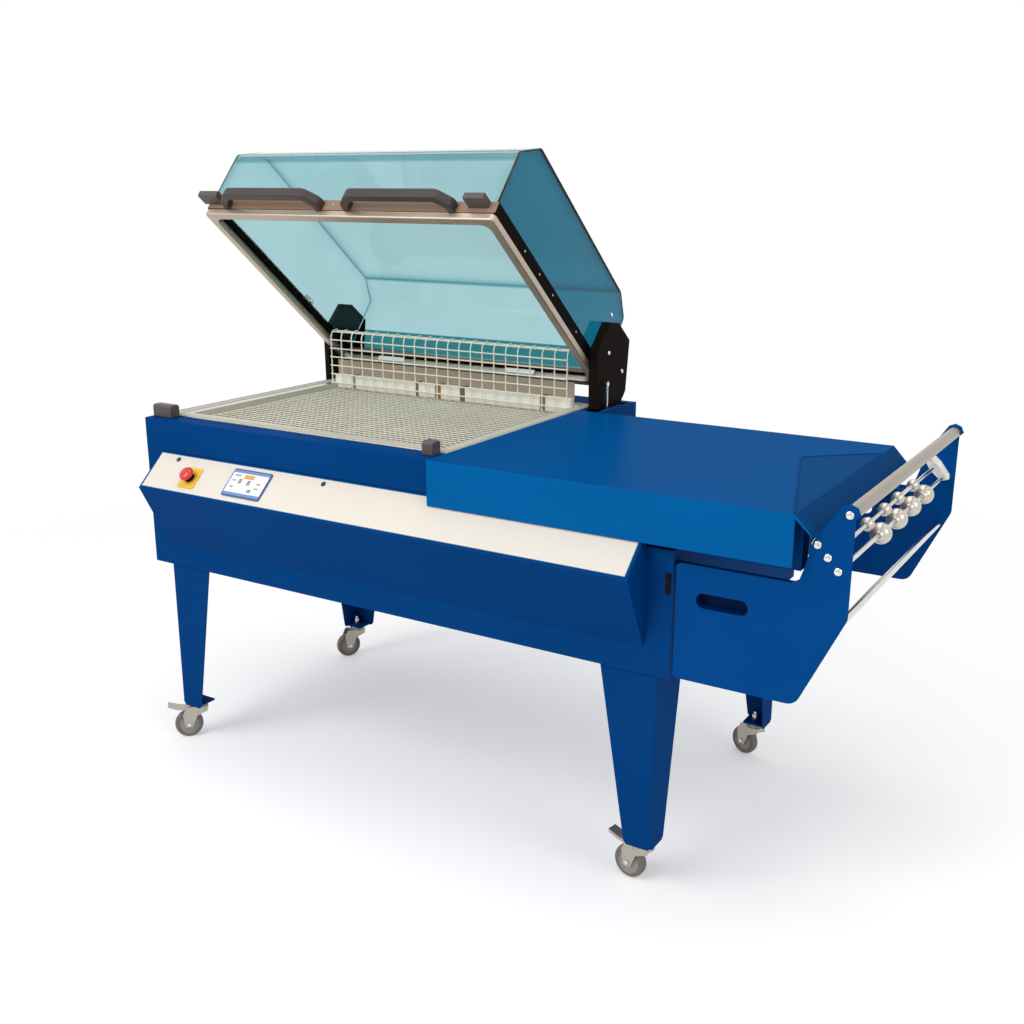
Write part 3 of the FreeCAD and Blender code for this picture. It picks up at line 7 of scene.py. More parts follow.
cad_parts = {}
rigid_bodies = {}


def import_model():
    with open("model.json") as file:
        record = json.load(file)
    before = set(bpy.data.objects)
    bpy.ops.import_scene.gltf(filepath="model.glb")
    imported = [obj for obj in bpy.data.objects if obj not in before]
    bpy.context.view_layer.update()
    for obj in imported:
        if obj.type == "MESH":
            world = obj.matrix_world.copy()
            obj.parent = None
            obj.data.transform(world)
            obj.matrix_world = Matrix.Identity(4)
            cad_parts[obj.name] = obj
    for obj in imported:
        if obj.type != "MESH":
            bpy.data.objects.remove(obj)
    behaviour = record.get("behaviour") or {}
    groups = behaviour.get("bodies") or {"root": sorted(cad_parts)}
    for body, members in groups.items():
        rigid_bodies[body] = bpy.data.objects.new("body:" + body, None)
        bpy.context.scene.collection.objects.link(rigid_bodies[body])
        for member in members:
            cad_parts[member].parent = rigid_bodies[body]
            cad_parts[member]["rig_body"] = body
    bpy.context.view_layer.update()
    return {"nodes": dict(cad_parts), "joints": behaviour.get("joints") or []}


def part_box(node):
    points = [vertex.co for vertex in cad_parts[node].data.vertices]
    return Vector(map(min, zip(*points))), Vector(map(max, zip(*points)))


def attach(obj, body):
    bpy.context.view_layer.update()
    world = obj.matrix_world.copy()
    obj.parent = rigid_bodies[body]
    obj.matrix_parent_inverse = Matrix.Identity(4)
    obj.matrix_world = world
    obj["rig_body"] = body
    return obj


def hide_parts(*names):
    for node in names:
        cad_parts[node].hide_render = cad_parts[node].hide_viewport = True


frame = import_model()
joints = {joint["name"]: joint for joint in frame["joints"]}

# Places are given in millimetres from the cabinet's left side, its front face and the floor.
machineCorner = Vector((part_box("cabinet")[0].x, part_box("cabinet")[0].y, 0))
hoodPivot = Vector(joints["hood_hinge"]["pos_m"])
hoodPivot.x = machineCorner.x
hoodTurn = Matrix.Rotation(-math.radians(joints["hood_hinge"]["range_deg"][1]), 4, "X")
hoodMatrix = Matrix.Translation(hoodPivot) @ hoodTurn
pressAxis = Vector(joints["stop_press"]["axis"])
slopeEdge = Vector((machineCorner.x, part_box("console")[0].y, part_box("console")[1].z - 0.0850))
slopeAngle = math.atan2(pressAxis.y, -pressAxis.z)
slopeMatrix = Matrix.Translation(slopeEdge) @ Matrix.Rotation(slopeAngle, 4, "X")
machineMatrix = Matrix.Translation(machineCorner)


def mm(*values):
    return Vector(values) / 1000


def at(x, y, z):
    return machineMatrix @ mm(x, y, z)


def srgb(red, green, blue):
    return tuple(((v / 255 + 0.055) / 1.055) ** 2.4 if v > 10 else v / 255 / 12.92
                 for v in (red, green, blue)) + (1.0,)


# Node trees

def newTree(name, kind, inputs, outputs):
    # inputs give each socket's type and value, outputs give each socket's type
    tree = bpy.data.node_groups.new(name, kind)
    for label, (socketType, value) in inputs.items():
        socket = tree.interface.new_socket(label, in_out="INPUT", socket_type="NodeSocket" + socketType)
        if value is not None:
            socket.default_value = value
    for label, socketType in outputs.items():
        tree.interface.new_socket(label, in_out="OUTPUT", socket_type="NodeSocket" + socketType)
    return tree, tree.nodes.new("NodeGroupInput"), tree.nodes.new("NodeGroupOutput")


def addNode(tree, kind, **settings):
    node = tree.nodes.new(kind)
    for label, value in settings.items():
        setattr(node, label, value)
    return node


def join(tree, *pairs):
    for source, target in pairs:
        tree.links.new(source, target)


def addMath(tree, operation, first, second):
    node = addNode(tree, "ShaderNodeMath", operation=operation)
    for index, value in enumerate((first, second)):
        if isinstance(value, (int, float)):
            node.inputs[index].default_value = value
        else:
            tree.links.new(value, node.inputs[index])
    return node.outputs[0]


def addNoise(tree, scale, detail, roughness=0.5, vector=None):
    noise = addNode(tree, "ShaderNodeTexNoise")
    noise.inputs["Detail"].default_value = detail
    noise.inputs["Roughness"].default_value = roughness
    if isinstance(scale, (int, float)):
        noise.inputs["Scale"].default_value = scale
    else:
        tree.links.new(scale, noise.inputs["Scale"])
    if vector is None:
        vector = addNode(tree, "ShaderNodeTexCoord").outputs["Object"]
    tree.links.new(vector, noise.inputs["Vector"])
    return noise.outputs["Fac"]


def blendMasks(tree, first, second, share):
    return addMath(tree, "ADD", addMath(tree, "MULTIPLY", first, share),
                   addMath(tree, "MULTIPLY", second, 1 - share))


def powderGroup():
    tree, inside, outside = newTree("powder coat", "ShaderNodeTree", {
        "Grain": ("Float", 900.0), "Waves": ("Float", 26.0), "Cloud": ("Float", 3.0)},
        {"Height": "Float", "Mottle": "Float"})
    grain = addNoise(tree, inside.outputs["Grain"], 2.0)
    waves = addNoise(tree, inside.outputs["Waves"], 1.0)
    cloud = addNoise(tree, inside.outputs["Cloud"], 4.0)
    join(tree, (addMath(tree, "ADD", grain, addMath(tree, "MULTIPLY", waves, 1.4)), outside.inputs["Height"]),
         (blendMasks(tree, cloud, grain, 0.75), outside.inputs["Mottle"]))
    return tree


def brushedGroup():
    inputs = {"Along " + axis: ("Float", 1.0) for axis in "XYZ"}
    tree, inside, outside = newTree("brushed metal", "ShaderNodeTree", {**inputs, "Scale": ("Float", 60.0)},
                                    {"Height": "Float", "Streaks": "Float"})
    spread = addNode(tree, "ShaderNodeCombineXYZ")
    stretch = addNode(tree, "ShaderNodeVectorMath", operation="MULTIPLY")
    join(tree, *((inside.outputs["Along " + axis], spread.inputs[axis]) for axis in "XYZ"),
         (addNode(tree, "ShaderNodeTexCoord").outputs["Object"], stretch.inputs[0]),
         (spread.outputs[0], stretch.inputs[1]))
    streaks = addNoise(tree, inside.outputs["Scale"], 5.0, 0.65, stretch.outputs[0])
    smudge = addNoise(tree, 7.0, 3.0)
    join(tree, (streaks, outside.inputs["Height"]),
         (blendMasks(tree, streaks, smudge, 0.6), outside.inputs["Streaks"]))
    return tree


groups = {"powder": powderGroup(), "brushed": brushedGroup()}


def newMaterial(name, settings):
    material = bpy.data.materials.new(name)
    material.use_nodes = True
    shader = material.node_tree.nodes["Principled BSDF"]
    for label, value in settings.items():
        shader.inputs[label].default_value = value
    return material, material.node_tree, shader


def mixColours(tree, mask, colour, shade, shader):
    ramp = addNode(tree, "ShaderNodeValToRGB")
    for element, position, level in zip(ramp.color_ramp.elements, (0.32, 0.68), (shade, 1)):
        element.position = position
        element.color = tuple(channel * level for channel in colour) + (1.0,)
    join(tree, (mask, ramp.inputs["Fac"]), (ramp.outputs["Color"], shader.inputs["Base Color"]))


def spreadValue(tree, mask, low, high, socket):
    span = addNode(tree, "ShaderNodeMapRange")
    for label, value in {"From Min": 0.3, "From Max": 0.7, "To Min": low, "To Max": high}.items():
        span.inputs[label].default_value = value
    join(tree, (mask, span.inputs["Value"]), (span.outputs["Result"], socket))


def addBump(tree, height, strength, distance, shader):
    bump = addNode(tree, "ShaderNodeBump")
    bump.inputs["Strength"].default_value = strength
    bump.inputs["Distance"].default_value = distance
    join(tree, (height, bump.inputs["Height"]), (bump.outputs["Normal"], shader.inputs["Normal"]))


def coated(name, colour, roughness=(0.34, 0.46), shade=0.9, grain=900.0, bump=0.25, **settings):
    material, tree, shader = newMaterial(name, settings)
    detail = addNode(tree, "ShaderNodeGroup", node_tree=groups["powder"])
    detail.inputs["Grain"].default_value = grain
    mixColours(tree, detail.outputs["Mottle"], srgb(*colour)[:3], shade, shader)
    spreadValue(tree, detail.outputs["Mottle"], *roughness, shader.inputs["Roughness"])
    addBump(tree, detail.outputs["Height"], bump, 0.0004, shader)
    return material


def brushed(name, colour, along=(1, 1, 1), roughness=(0.25, 0.4), shade=0.82, scale=60.0, bump=0.08):
    material, tree, shader = newMaterial(name, {"Metallic": 1.0})
    detail = addNode(tree, "ShaderNodeGroup", node_tree=groups["brushed"])
    for axis, amount in zip("XYZ", along):
        detail.inputs["Along " + axis].default_value = amount
    detail.inputs["Scale"].default_value = scale
    mixColours(tree, detail.outputs["Streaks"], srgb(*colour)[:3], shade, shader)
    spreadValue(tree, detail.outputs["Streaks"], *roughness, shader.inputs["Roughness"])
    addBump(tree, detail.outputs["Height"], bump, 0.0003, shader)
    return material


def acrylic(name, tint, roughness=0.03):
    material, tree, shader = newMaterial(name, {"Transmission Weight": 1.0, "IOR": 1.22})
    smear = addNoise(tree, 5.0, 3.0)
    mixColours(tree, smear, tint, 0.94, shader)
    spreadValue(tree, smear, roughness * 0.5, roughness * 1.5, shader.inputs["Roughness"])
    # painted shade: the sheet's colour is darkened along its folds and joints, where shade falls
    fold = addNode(tree, "ShaderNodeAttribute", attribute_name="paintedCreaseShade")
    creaseShadeMix = addNode(tree, "ShaderNodeMix", data_type="RGBA", blend_type="MULTIPLY")
    # the dark teal that the painted crease shade multiplies into the tint
    creaseShadeMix.inputs[7].default_value = (0.1, 0.4, 0.48, 1.0)
    join(tree, (fold.outputs["Fac"], creaseShadeMix.inputs["Factor"]),
         (shader.inputs["Base Color"].links[0].from_socket, creaseShadeMix.inputs[6]),
         (creaseShadeMix.outputs[2], shader.inputs["Base Color"]))
    # lamps shine through the tinted sheet
    path = addNode(tree, "ShaderNodeLightPath")
    clear = addNode(tree, "ShaderNodeBsdfTransparent")
    clear.inputs["Color"].default_value = tuple(channel ** 0.5 for channel in tint) + (1.0,)
    either = addNode(tree, "ShaderNodeMixShader")
    join(tree, (addMath(tree, "MAXIMUM", path.outputs["Is Shadow Ray"], path.outputs["Is Diffuse Ray"]),
                either.inputs["Fac"]),
         (shader.outputs["BSDF"], either.inputs[1]), (clear.outputs["BSDF"], either.inputs[2]),
         (either.outputs["Shader"], tree.nodes["Material Output"].inputs["Surface"]))
    return material


satin = {"Specular IOR Level": 0.0, "Coat Weight": 0.06, "Coat Roughness": 0.3}
materials = {
    "blue": coated("blue powder coat", (0, 64, 128), (0.32, 0.44), **satin),
    # painted light: the next two blues are lighter copies of the cabinet's blue for the table and its front
    # skirt
    "tableLitBlue": coated("blue powder coat with painted table light", (0, 76, 138), (0.3, 0.42), **satin),
    "skirtLitBlue": coated("blue powder coat with painted skirt light", (0, 97, 166), (0.3, 0.42), **satin),
    # painted light: a lighter copy of the blue for the carriage plates
    "plateBlue": coated("blue powder coat with painted plate light", (0, 74, 144), (0.3, 0.42), **satin),
    # painted shade: a darker copy of the blue for the table's facet and its bead
    "facetShadedBlue": coated("blue powder coat with painted facet shade", (0, 66, 122), (0.3, 0.42), **satin),
    # painted light: a lighter taupe copy of the brown black paint for the hood frame's front faces
    "taupe": coated("taupe paint", (150, 125, 106), (0.42, 0.54), **satin),
    "dark": coated("brown black paint", (20, 16, 14), (0.36, 0.48), **satin),
    "black": coated("black paint", (30, 25, 22), (0.36, 0.48), **satin),
    "handle": coated("handle plastic", (60, 53, 48), (0.36, 0.5), grain=1400.0,
                     **{"Specular IOR Level": 0.35}),
    "fascia": coated("fascia film", (228, 221, 209), (0.36, 0.44), 0.96, bump=0.08),
    # painted highlight for the fascia's border
    "fasciaEdgeHighlight": coated("painted fascia edge highlight", (120, 158, 196), (0.3, 0.4), bump=0.05),
    "yellow": coated("yellow plastic", (240, 196, 52), (0.38, 0.5)),
    "red": coated("red plastic", (214, 38, 32), (0.22, 0.32), bump=0.06, **{"Coat Weight": 0.4}),
    "screenRim": coated("screen rim", (54, 92, 150), (0.25, 0.35), bump=0.05),
    "screenField": coated("screen field", (238, 240, 242), (0.18, 0.24), 0.98, bump=0.0),
    "screenStrip": coated("screen strip", (104, 146, 196), (0.18, 0.24), 0.97, bump=0.0),
    "screenOrange": coated("screen orange", (226, 164, 72), (0.18, 0.24), 0.97, bump=0.0),
    "screenGrey": coated("screen grey", (150, 152, 142), (0.18, 0.24), 0.97, bump=0.0),
    "badge": coated("badge enamel", (26, 52, 104), (0.2, 0.3)),
    "zinc": brushed("zinc plate", (190, 184, 172), scale=240.0, roughness=(0.32, 0.5)),
    "tread": coated("wheel tread", (118, 108, 102), (0.5, 0.64)),
    "hub": coated("wheel hub", (162, 156, 150), (0.4, 0.5)),
    "chamber": coated("chamber steel", (206, 196, 180), (0.4, 0.54), 0.9),
    "rim": brushed("rim steel", (222, 218, 210), (0.06, 1, 1), (0.3, 0.44)),
    "seal": coated("seal strip", (196, 188, 172), (0.55, 0.7), grain=500.0),
    "mesh": coated("mesh wire", (230, 224, 206), (0.34, 0.5), 0.86, 500.0),
    "guard": coated("guard wire", (246, 238, 220), (0.3, 0.42), 0.95),
    "rearPlate": coated("rear plate paint", (176, 158, 138), (0.5, 0.62), 0.88),
    "white": coated("white plastic", (255, 253, 244), (0.42, 0.56), 0.98),
    "brown": coated("brown post", (170, 124, 62), (0.4, 0.5)),
    "greyPost": brushed("grey post", (150, 147, 140), scale=150.0),
    "post": coated("post plastic", (78, 70, 66), (0.4, 0.54), 0.86),
    "bar": brushed("seal bar steel", (196, 181, 163), (0.05, 1, 1), (0.38, 0.52)),
    "bright": brushed("bright steel", (226, 226, 224), scale=90.0, roughness=(0.12, 0.22)),
    "roller": brushed("roller tube", (166, 158, 146), (1, 0.04, 1), (0.28, 0.4), scale=120.0),
    "galvanised": brushed("galvanised steel", (196, 192, 184), scale=40.0, roughness=(0.4, 0.55)),
    "pearl": coated("pearl plastic", (214, 206, 194), (0.14, 0.22), 0.9, bump=0.03,
                    **{"Metallic": 0.45, "Coat Weight": 0.4}),
    "acrylic": acrylic("teal acrylic", (0.39, 0.63, 0.665)),
    # painted light: a paler copy of the teal acrylic for the cover's front strip
    "acrylicFrontPaintedLight": acrylic("pale acrylic", (0.88, 0.97, 0.99)),
    # painted shade: a darker copy of the teal acrylic for the right side panel
    "acrylicSide": acrylic("acrylic with painted side shade", (0.014, 0.25, 0.38)),
    # painted shade: a darker copy of the teal acrylic for the cover's lower rear band
    "acrylicLowPaintedShade": acrylic("acrylic with painted lower shade", (0.03, 0.2, 0.235)),
    "acrylicEdge": coated("acrylic edge", (16, 52, 60), (0.12, 0.2), bump=0.0),
    # painted shade: a dark copy of the blue for the cup inside the hand slot
    "gripBlue": coated("grip cup painted shade", (4, 36, 86), (0.4, 0.52), **satin),
}
print("materials ready")


# Geometry node trees

def geometryTree(name, inputs):
    inputs = {"Geometry": ("Geometry", None), **inputs, "Material": ("Material", None)}
    return newTree(name, "GeometryNodeTree", inputs, {"Geometry": "Geometry"})


def closeTree(tree, geometry, inside, outside):
    real = tree.nodes.new("GeometryNodeRealizeInstances")
    smooth = tree.nodes.new("GeometryNodeSetShadeSmooth")
    paint = tree.nodes.new("GeometryNodeSetMaterial")
    join(tree, (geometry, real.inputs["Geometry"]), (real.outputs["Geometry"], smooth.inputs["Geometry"]),
         (smooth.outputs["Geometry"], paint.inputs["Geometry"]),
         (inside.outputs["Material"], paint.inputs["Material"]),
         (paint.outputs["Geometry"], outside.inputs["Geometry"]))
    return tree


def wireTree():
    tree, inside, outside = geometryTree("swept wire", {
        "Wire Radius": ("Float", 0.002), "Bend Radius": ("Float", 0.004), "Sides": ("Int", 8)})
    curve = tree.nodes.new("GeometryNodeMeshToCurve")
    fillet = tree.nodes.new("GeometryNodeFilletCurve")
    fillet.mode = "POLY"
    fillet.inputs["Count"].default_value = 5
    ring = tree.nodes.new("GeometryNodeCurvePrimitiveCircle")
    sweep = tree.nodes.new("GeometryNodeCurveToMesh")
    sweep.inputs["Fill Caps"].default_value = True
    join(tree, (inside.outputs["Geometry"], curve.inputs["Mesh"]),
         (curve.outputs["Curve"], fillet.inputs["Curve"]),
         (inside.outputs["Bend Radius"], fillet.inputs["Radius"]),
         (inside.outputs["Sides"], ring.inputs["Resolution"]),
         (inside.outputs["Wire Radius"], ring.inputs["Radius"]),
         (fillet.outputs["Curve"], sweep.inputs["Curve"]),
         (ring.outputs["Curve"], sweep.inputs["Profile Curve"]))
    return closeTree(tree, sweep.outputs["Mesh"], inside, outside)


def fastenerTree():
    tree, inside, outside = geometryTree("fasteners", {"Head": ("Object", None), "Size": ("Float", 1.0)})
    facing = addNode(tree, "GeometryNodeInputNamedAttribute", data_type="FLOAT_VECTOR")
    facing.inputs["Name"].default_value = "facing"
    align = addNode(tree, "FunctionNodeAlignRotationToVector", axis="Z")
    head = tree.nodes.new("GeometryNodeObjectInfo")
    spread = tree.nodes.new("GeometryNodeInstanceOnPoints")
    join(tree, (inside.outputs["Geometry"], spread.inputs["Points"]),
         (inside.outputs["Head"], head.inputs["Object"]), (head.outputs["Geometry"], spread.inputs["Instance"]),
         (facing.outputs["Attribute"], align.inputs["Vector"]),
         (align.outputs["Rotation"], spread.inputs["Rotation"]),
         (inside.outputs["Size"], spread.inputs["Scale"]))
    return closeTree(tree, spread.outputs["Instances"], inside, outside)


trees = {"wire": wireTree(), "fastener": fastenerTree()}


def link(thing):
    bpy.context.scene.collection.objects.link(thing)
    return thing


def bake(thing):
    bpy.context.view_layer.update()
    graph = bpy.context.evaluated_depsgraph_get()
    mesh = bpy.data.meshes.new_from_object(thing.evaluated_get(graph))
    thing.modifiers.clear()
    thing.data = mesh
    return thing


def runTree(name, tree, carrier, **inputs):
    thing = link(bpy.data.objects.new(name, carrier))
    modifier = thing.modifiers.new("build", "NODES")
    modifier.node_group = tree
    ids = {item.name: item.identifier for item in tree.interface.items_tree if item.in_out == "INPUT"}
    for label, value in inputs.items():
        modifier[ids[label]] = value
    return bake(thing)


def wires(name, paths, radius, material, body, bend=0.0, sides=8, replaces=()):
    carrier = bpy.data.meshes.new(name)
    points, edges = [], []
    for path in paths:
        edges += [(len(points) + step, len(points) + step + 1) for step in range(len(path) - 1)]
        points += path
    carrier.from_pydata(points, edges, [])
    thing = runTree(name, trees["wire"], carrier, **{"Wire Radius": radius, "Bend Radius": bend,
                                                     "Sides": sides, "Material": materials[material]})
    return settle(thing, body, replaces)


def fasteners(name, spots, head, material, body, size=1.0):
    carrier = bpy.data.meshes.new(name)
    carrier.from_pydata([spot for spot, facing in spots], [], [])
    facing = carrier.attributes.new("facing", "FLOAT_VECTOR", "POINT")
    for index, (spot, way) in enumerate(spots):
        facing.data[index].vector = way
    thing = runTree(name, trees["fastener"], carrier, Head=head, Size=size, Material=materials[material])
    return settle(thing, body)


def settle(thing, body, replaces=()):
    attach(thing, body)
    if replaces:
        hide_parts(*replaces)
    return thing


# Mesh helpers

def smoothByAngle(mesh, degrees=32):
    for polygon in mesh.polygons:
        polygon.use_smooth = True
    mesh.set_sharp_from_angle(angle=math.radians(degrees))


def pieceFrom(name, shape, material, body, matrix=None, replaces=(), bevel=0.0, steps=2):
    bmesh.ops.remove_doubles(shape, verts=shape.verts, dist=1e-6)
    bmesh.ops.recalc_face_normals(shape, faces=shape.faces)
    if matrix is not None:
        bmesh.ops.transform(shape, matrix=matrix, verts=shape.verts)
    mesh = bpy.data.meshes.new(name)
    shape.to_mesh(mesh)
    shape.free()
    for label in [material] if isinstance(material, str) else material:
        mesh.materials.append(materials[label])
    thing = link(bpy.data.objects.new(name, mesh))
    if bevel:
        modifier = thing.modifiers.new("edge", "BEVEL")
        modifier.width = bevel
        modifier.segments = steps
        modifier.limit_method = "ANGLE"
        modifier.angle_limit = math.radians(35)
        # wide flat faces keep their own normals, so that only the rounded edges blend
        weigh = thing.modifiers.new("flat faces", "WEIGHTED_NORMAL")
        weigh.keep_sharp = True
        weigh.weight = 100
    smoothByAngle(thing.data)
    if bevel:
        bake(thing)
    return settle(thing, body, replaces)


def copyNode(node, material, bevel=0.001, steps=2, paint=None):
    # paint gives a face's material slot from its normal and its middle
    body = frame["nodes"][node]["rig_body"]
    shape = bmesh.new()
    shape.from_mesh(frame["nodes"][node].data)
    bmesh.ops.remove_doubles(shape, verts=shape.verts, dist=1e-5)
    # the plates with a slot keep their own triangles
    if not node.startswith("carriage_plate"):
        bmesh.ops.dissolve_limit(shape, angle_limit=math.radians(0.5), verts=shape.verts, edges=shape.edges)
    for face in shape.faces:
        face.material_index = paint(face.normal, face.calc_center_median()) if paint else 0
    return pieceFrom(node + "_finish", shape, material, body, None, (node,), bevel, steps)


def ringOf(shape, radius, height, count, matrix):
    angles = [2 * math.pi * step / count for step in range(count)]
    return [shape.verts.new(matrix @ mm(radius * math.cos(angle), radius * math.sin(angle), height))
            for angle in angles]


def lathe(shape, profile, matrix=Matrix.Identity(4), count=32):
    # the profile is a list of (radius, height)
    rings = []
    for radius, height in profile:
        if radius < 1e-6:
            rings.append([shape.verts.new(matrix @ mm(0, 0, height))])
        else:
            rings.append(ringOf(shape, radius, height, count, matrix))
    faces = []
    for low, high in zip(rings, rings[1:]):
        for step in range(count):
            after = (step + 1) % count
            corners = []
            around = ((low, step), (low, after), (high, after), (high, step))
            for vert in (ring[index % len(ring)] for ring, index in around):
                if vert not in corners:
                    corners.append(vert)
            if len(corners) > 2:
                faces.append(shape.faces.new(corners))
    return faces


def bridge(shape, first, second):
    count = len(first)
    for step in range(count):
        after = (step + 1) % count
        shape.faces.new((first[step], first[after], second[after], second[step]))


planes = {"xy": lambda u, v, w: (u, v, w), "xz": lambda u, v, w: (u, w, v), "yz": lambda u, v, w: (w, u, v)}


def slab(shape, outline, low, high, matrix=Matrix.Identity(4), plane="xy"):
    bottom, top = ([shape.verts.new(matrix @ mm(*planes[plane](u, v, height))) for u, v in outline]
                   for height in (low, high))
    count = len(outline)
    faces = [shape.faces.new(bottom), shape.faces.new(top)]
    for step in range(count):
        after = (step + 1) % count
        faces.append(shape.faces.new((bottom[step], bottom[after], top[after], top[step])))
    return faces


def turnedPiece(name, profile, matrix, count, material, body, **settings):
    shape = bmesh.new()
    lathe(shape, profile, matrix, count)
    return pieceFrom(name, shape, material, body, **settings)


def platePiece(name, outline, low, high, matrix, material, body, **settings):
    shape = bmesh.new()
    slab(shape, outline, low, high, matrix)
    return pieceFrom(name, shape, material, body, **settings)


def rounded(points, radius, steps=5):
    result = []
    count = len(points)
    for index in range(count):
        here = Vector(points[index])
        before = Vector(points[index - 1]) - here
        after = Vector(points[(index + 1) % count]) - here
        size = radius[index] if isinstance(radius, (list, tuple)) else radius
        if size <= 0:
            result.append(tuple(here))
            continue
        half = before.angle(after) / 2
        reach = min(size / math.tan(half), before.length * 0.49, after.length * 0.49)
        start = here + before.normalized() * reach
        end = here + after.normalized() * reach
        for step in range(steps + 1):
            share = step / steps
            result.append(tuple(start.lerp(here, share).lerp(here.lerp(end, share), share)))
    return result


def rectangle(left, right, low, high):
    return [(left, low), (right, low), (right, high), (left, high)]


def middled(x, y, wide, high):
    return rectangle(x - wide / 2, x + wide / 2, y - high / 2, y + high / 2)


def frameRing(shape, outer, inner, low, high, matrix, rounds):
    loops = [rounded(outer, rounds[0]), rounded(inner, rounds[1])]
    rings = [[shape.verts.new(matrix @ mm(u, v, height)) for u, v in loop]
             for loop in loops for height in (low, high)]
    for first, second in ((0, 1), (1, 3), (3, 2), (2, 0)):
        bridge(shape, rings[first], rings[second])


# Fastener heads: each stands on its own XY plane and faces +Z

def headShape(name, profile, count=20):
    shape = bmesh.new()
    lathe(shape, profile, count=count)
    bmesh.ops.recalc_face_normals(shape, faces=shape.faces)
    mesh = bpy.data.meshes.new(name)
    shape.to_mesh(mesh)
    shape.free()
    return bpy.data.objects.new(name, mesh)


heads = {
    "button": headShape("buttonHead", [(0, -0.4), (9, -0.4), (9, 0.6), (8.2, 2.2), (6, 3.4), (3.6, 3.9),
                                       (3.4, 3.9), (3.4, 1.8), (0, 1.8)]),
    "rivet": headShape("rivetHead", [(0, -0.2), (3.4, -0.2), (3.2, 0.7), (2.2, 1.3), (0.9, 1.5), (0.8, 1.1),
                                     (0, 1.0)], 14),
    "hex": headShape("hexHead", [(0, -0.2), (6.5, -0.2), (6.5, 3.4), (5.8, 4), (0, 4)], 6),
}
print("node trees and helpers ready")


# Blue sheet metal

table = {"right": 1843, "near": -24, "far": 595, "apexX": 1693, "apexY": 458, "top": 951.2}


# painted light: the table's faces take lighter and darker copies of one blue by the way they face, the front
# skirt lightest, the sloping flange and the raised facet darker as painted shade
def tableLightByFacing(normal, middle):
    flange = normal.x > 0.25 and normal.z > 0.25
    facet = normal.z > 0.9 and middle.z > 0.951
    return 1 if flange or facet else 2 if normal.y < -0.5 else 0


def makeSheetMetal():
    sheets = {
        "cabinet": 0.0011, "upper_front_panel": 0.0007, "console": 0.0008, "packing_table": 0.0016,
        "table_rails": 0.001, "carriage_plate_front": 0.001, "carriage_plate_back": 0.001,
        "carriage_tubes": 0.001, "leg_front_left": 0.0018, "leg_front_right": 0.0018,
        "leg_back_left": 0.0018, "leg_back_right": 0.0018,
    }
    for node, bevel in sheets.items():
        if node == "packing_table":
            copyNode(node, ["tableLitBlue", "facetShadedBlue", "skirtLitBlue"], bevel, paint=tableLightByFacing)
        else:
            # painted light: the carriage plates take a lighter copy of the cabinet's blue
            copyNode(node, "plateBlue" if node.startswith("carriage_plate") else "blue", bevel)
    copyNode("carriage_lock", ["black", "bright"], 0.0008, paint=lambda normal, middle: int(normal.z > 0.7))
    right, near, far, apexX, apexY, top = table.values()
    # painted shade: the bead round the facet takes the darker blue
    bead = [at(right - 2, near, top), at(apexX, apexY, top), at(right - 2, far, top)]
    wires("facet_bead", [bead], 0.0022, "facetShadedBlue", "machine", 0.014, 8)
    print("sheet metal made")


makeSheetMetal()

# Console: fascia, screen and stop button, placed on the slope from its lower edge

console = {
    "fascia": (66.5, 1511.5, 7.5, 117.8),
    "stop": (218, 54),
    "plate": (56, 64, 4),
    "collar": [(6.2, 3.9), (14, 3.9), (14, 7.6), (12.6, 9.4), (6.2, 9.4), (6.2, 3.9)],
    "head": [(0, 4), (6, 4), (6, 15.4), (12, 15.4), (17, 16.2), (19.6, 18.4), (20, 21), (19.4, 24), (17.4, 27),
             (13, 29.2), (7, 30.2), (0, 30.4)],
    "screen": (350, 22, 130, 84), "screenFace": 5.0,
    "fields": [
        (4, 4, 122, 76, "Field"), (4, 4, 122, 8, "Strip"), (4, 72, 122, 8, "Strip"),
        (46, 56, 34, 12, "Orange"), (34, 40, 11, 15, "Grey"), (64, 38, 11, 15, "Grey"),
        (78, 17, 13, 10, "Grey"), (16, 26, 10, 5, "Grey"), (96, 44, 14, 4, "Grey"),
        (96, 30, 14, 4, "Grey"), (12, 62, 22, 4, "Grey"), (12, 46, 12, 4, "Grey"),
    ],
    "plugs": [(139, 104), (645, 104)],
    "plug": [(0, 0.9), (7, 0.9), (7, 2.2), (6, 3), (3, 3), (2.6, 2.2), (0, 2.2)],
}


def makeScreen():
    left, low, length, height = console["screen"]
    face = console["screenFace"]
    rim = rounded(rectangle(left, left + length, low, low + height), 6)
    platePiece("screen_rim", rim, -1, face, slopeMatrix, "screenRim", "machine", replaces=("touch_screen",),
               bevel=0.0012)
    names = []
    shape = bmesh.new()
    for number, (x, y, wide, high, label) in enumerate(console["fields"]):
        if "screen" + label not in names:
            names.append("screen" + label)
        base = face + 0.02 + 0.1 * (number > 0)
        outline = rounded(rectangle(left + x, left + x + wide, low + y, low + y + high), 0.8, 2)
        for item in slab(shape, outline, base, base + 0.1, slopeMatrix):
            item.material_index = names.index("screen" + label)
    pieceFrom("screen_display", shape, names, "machine")


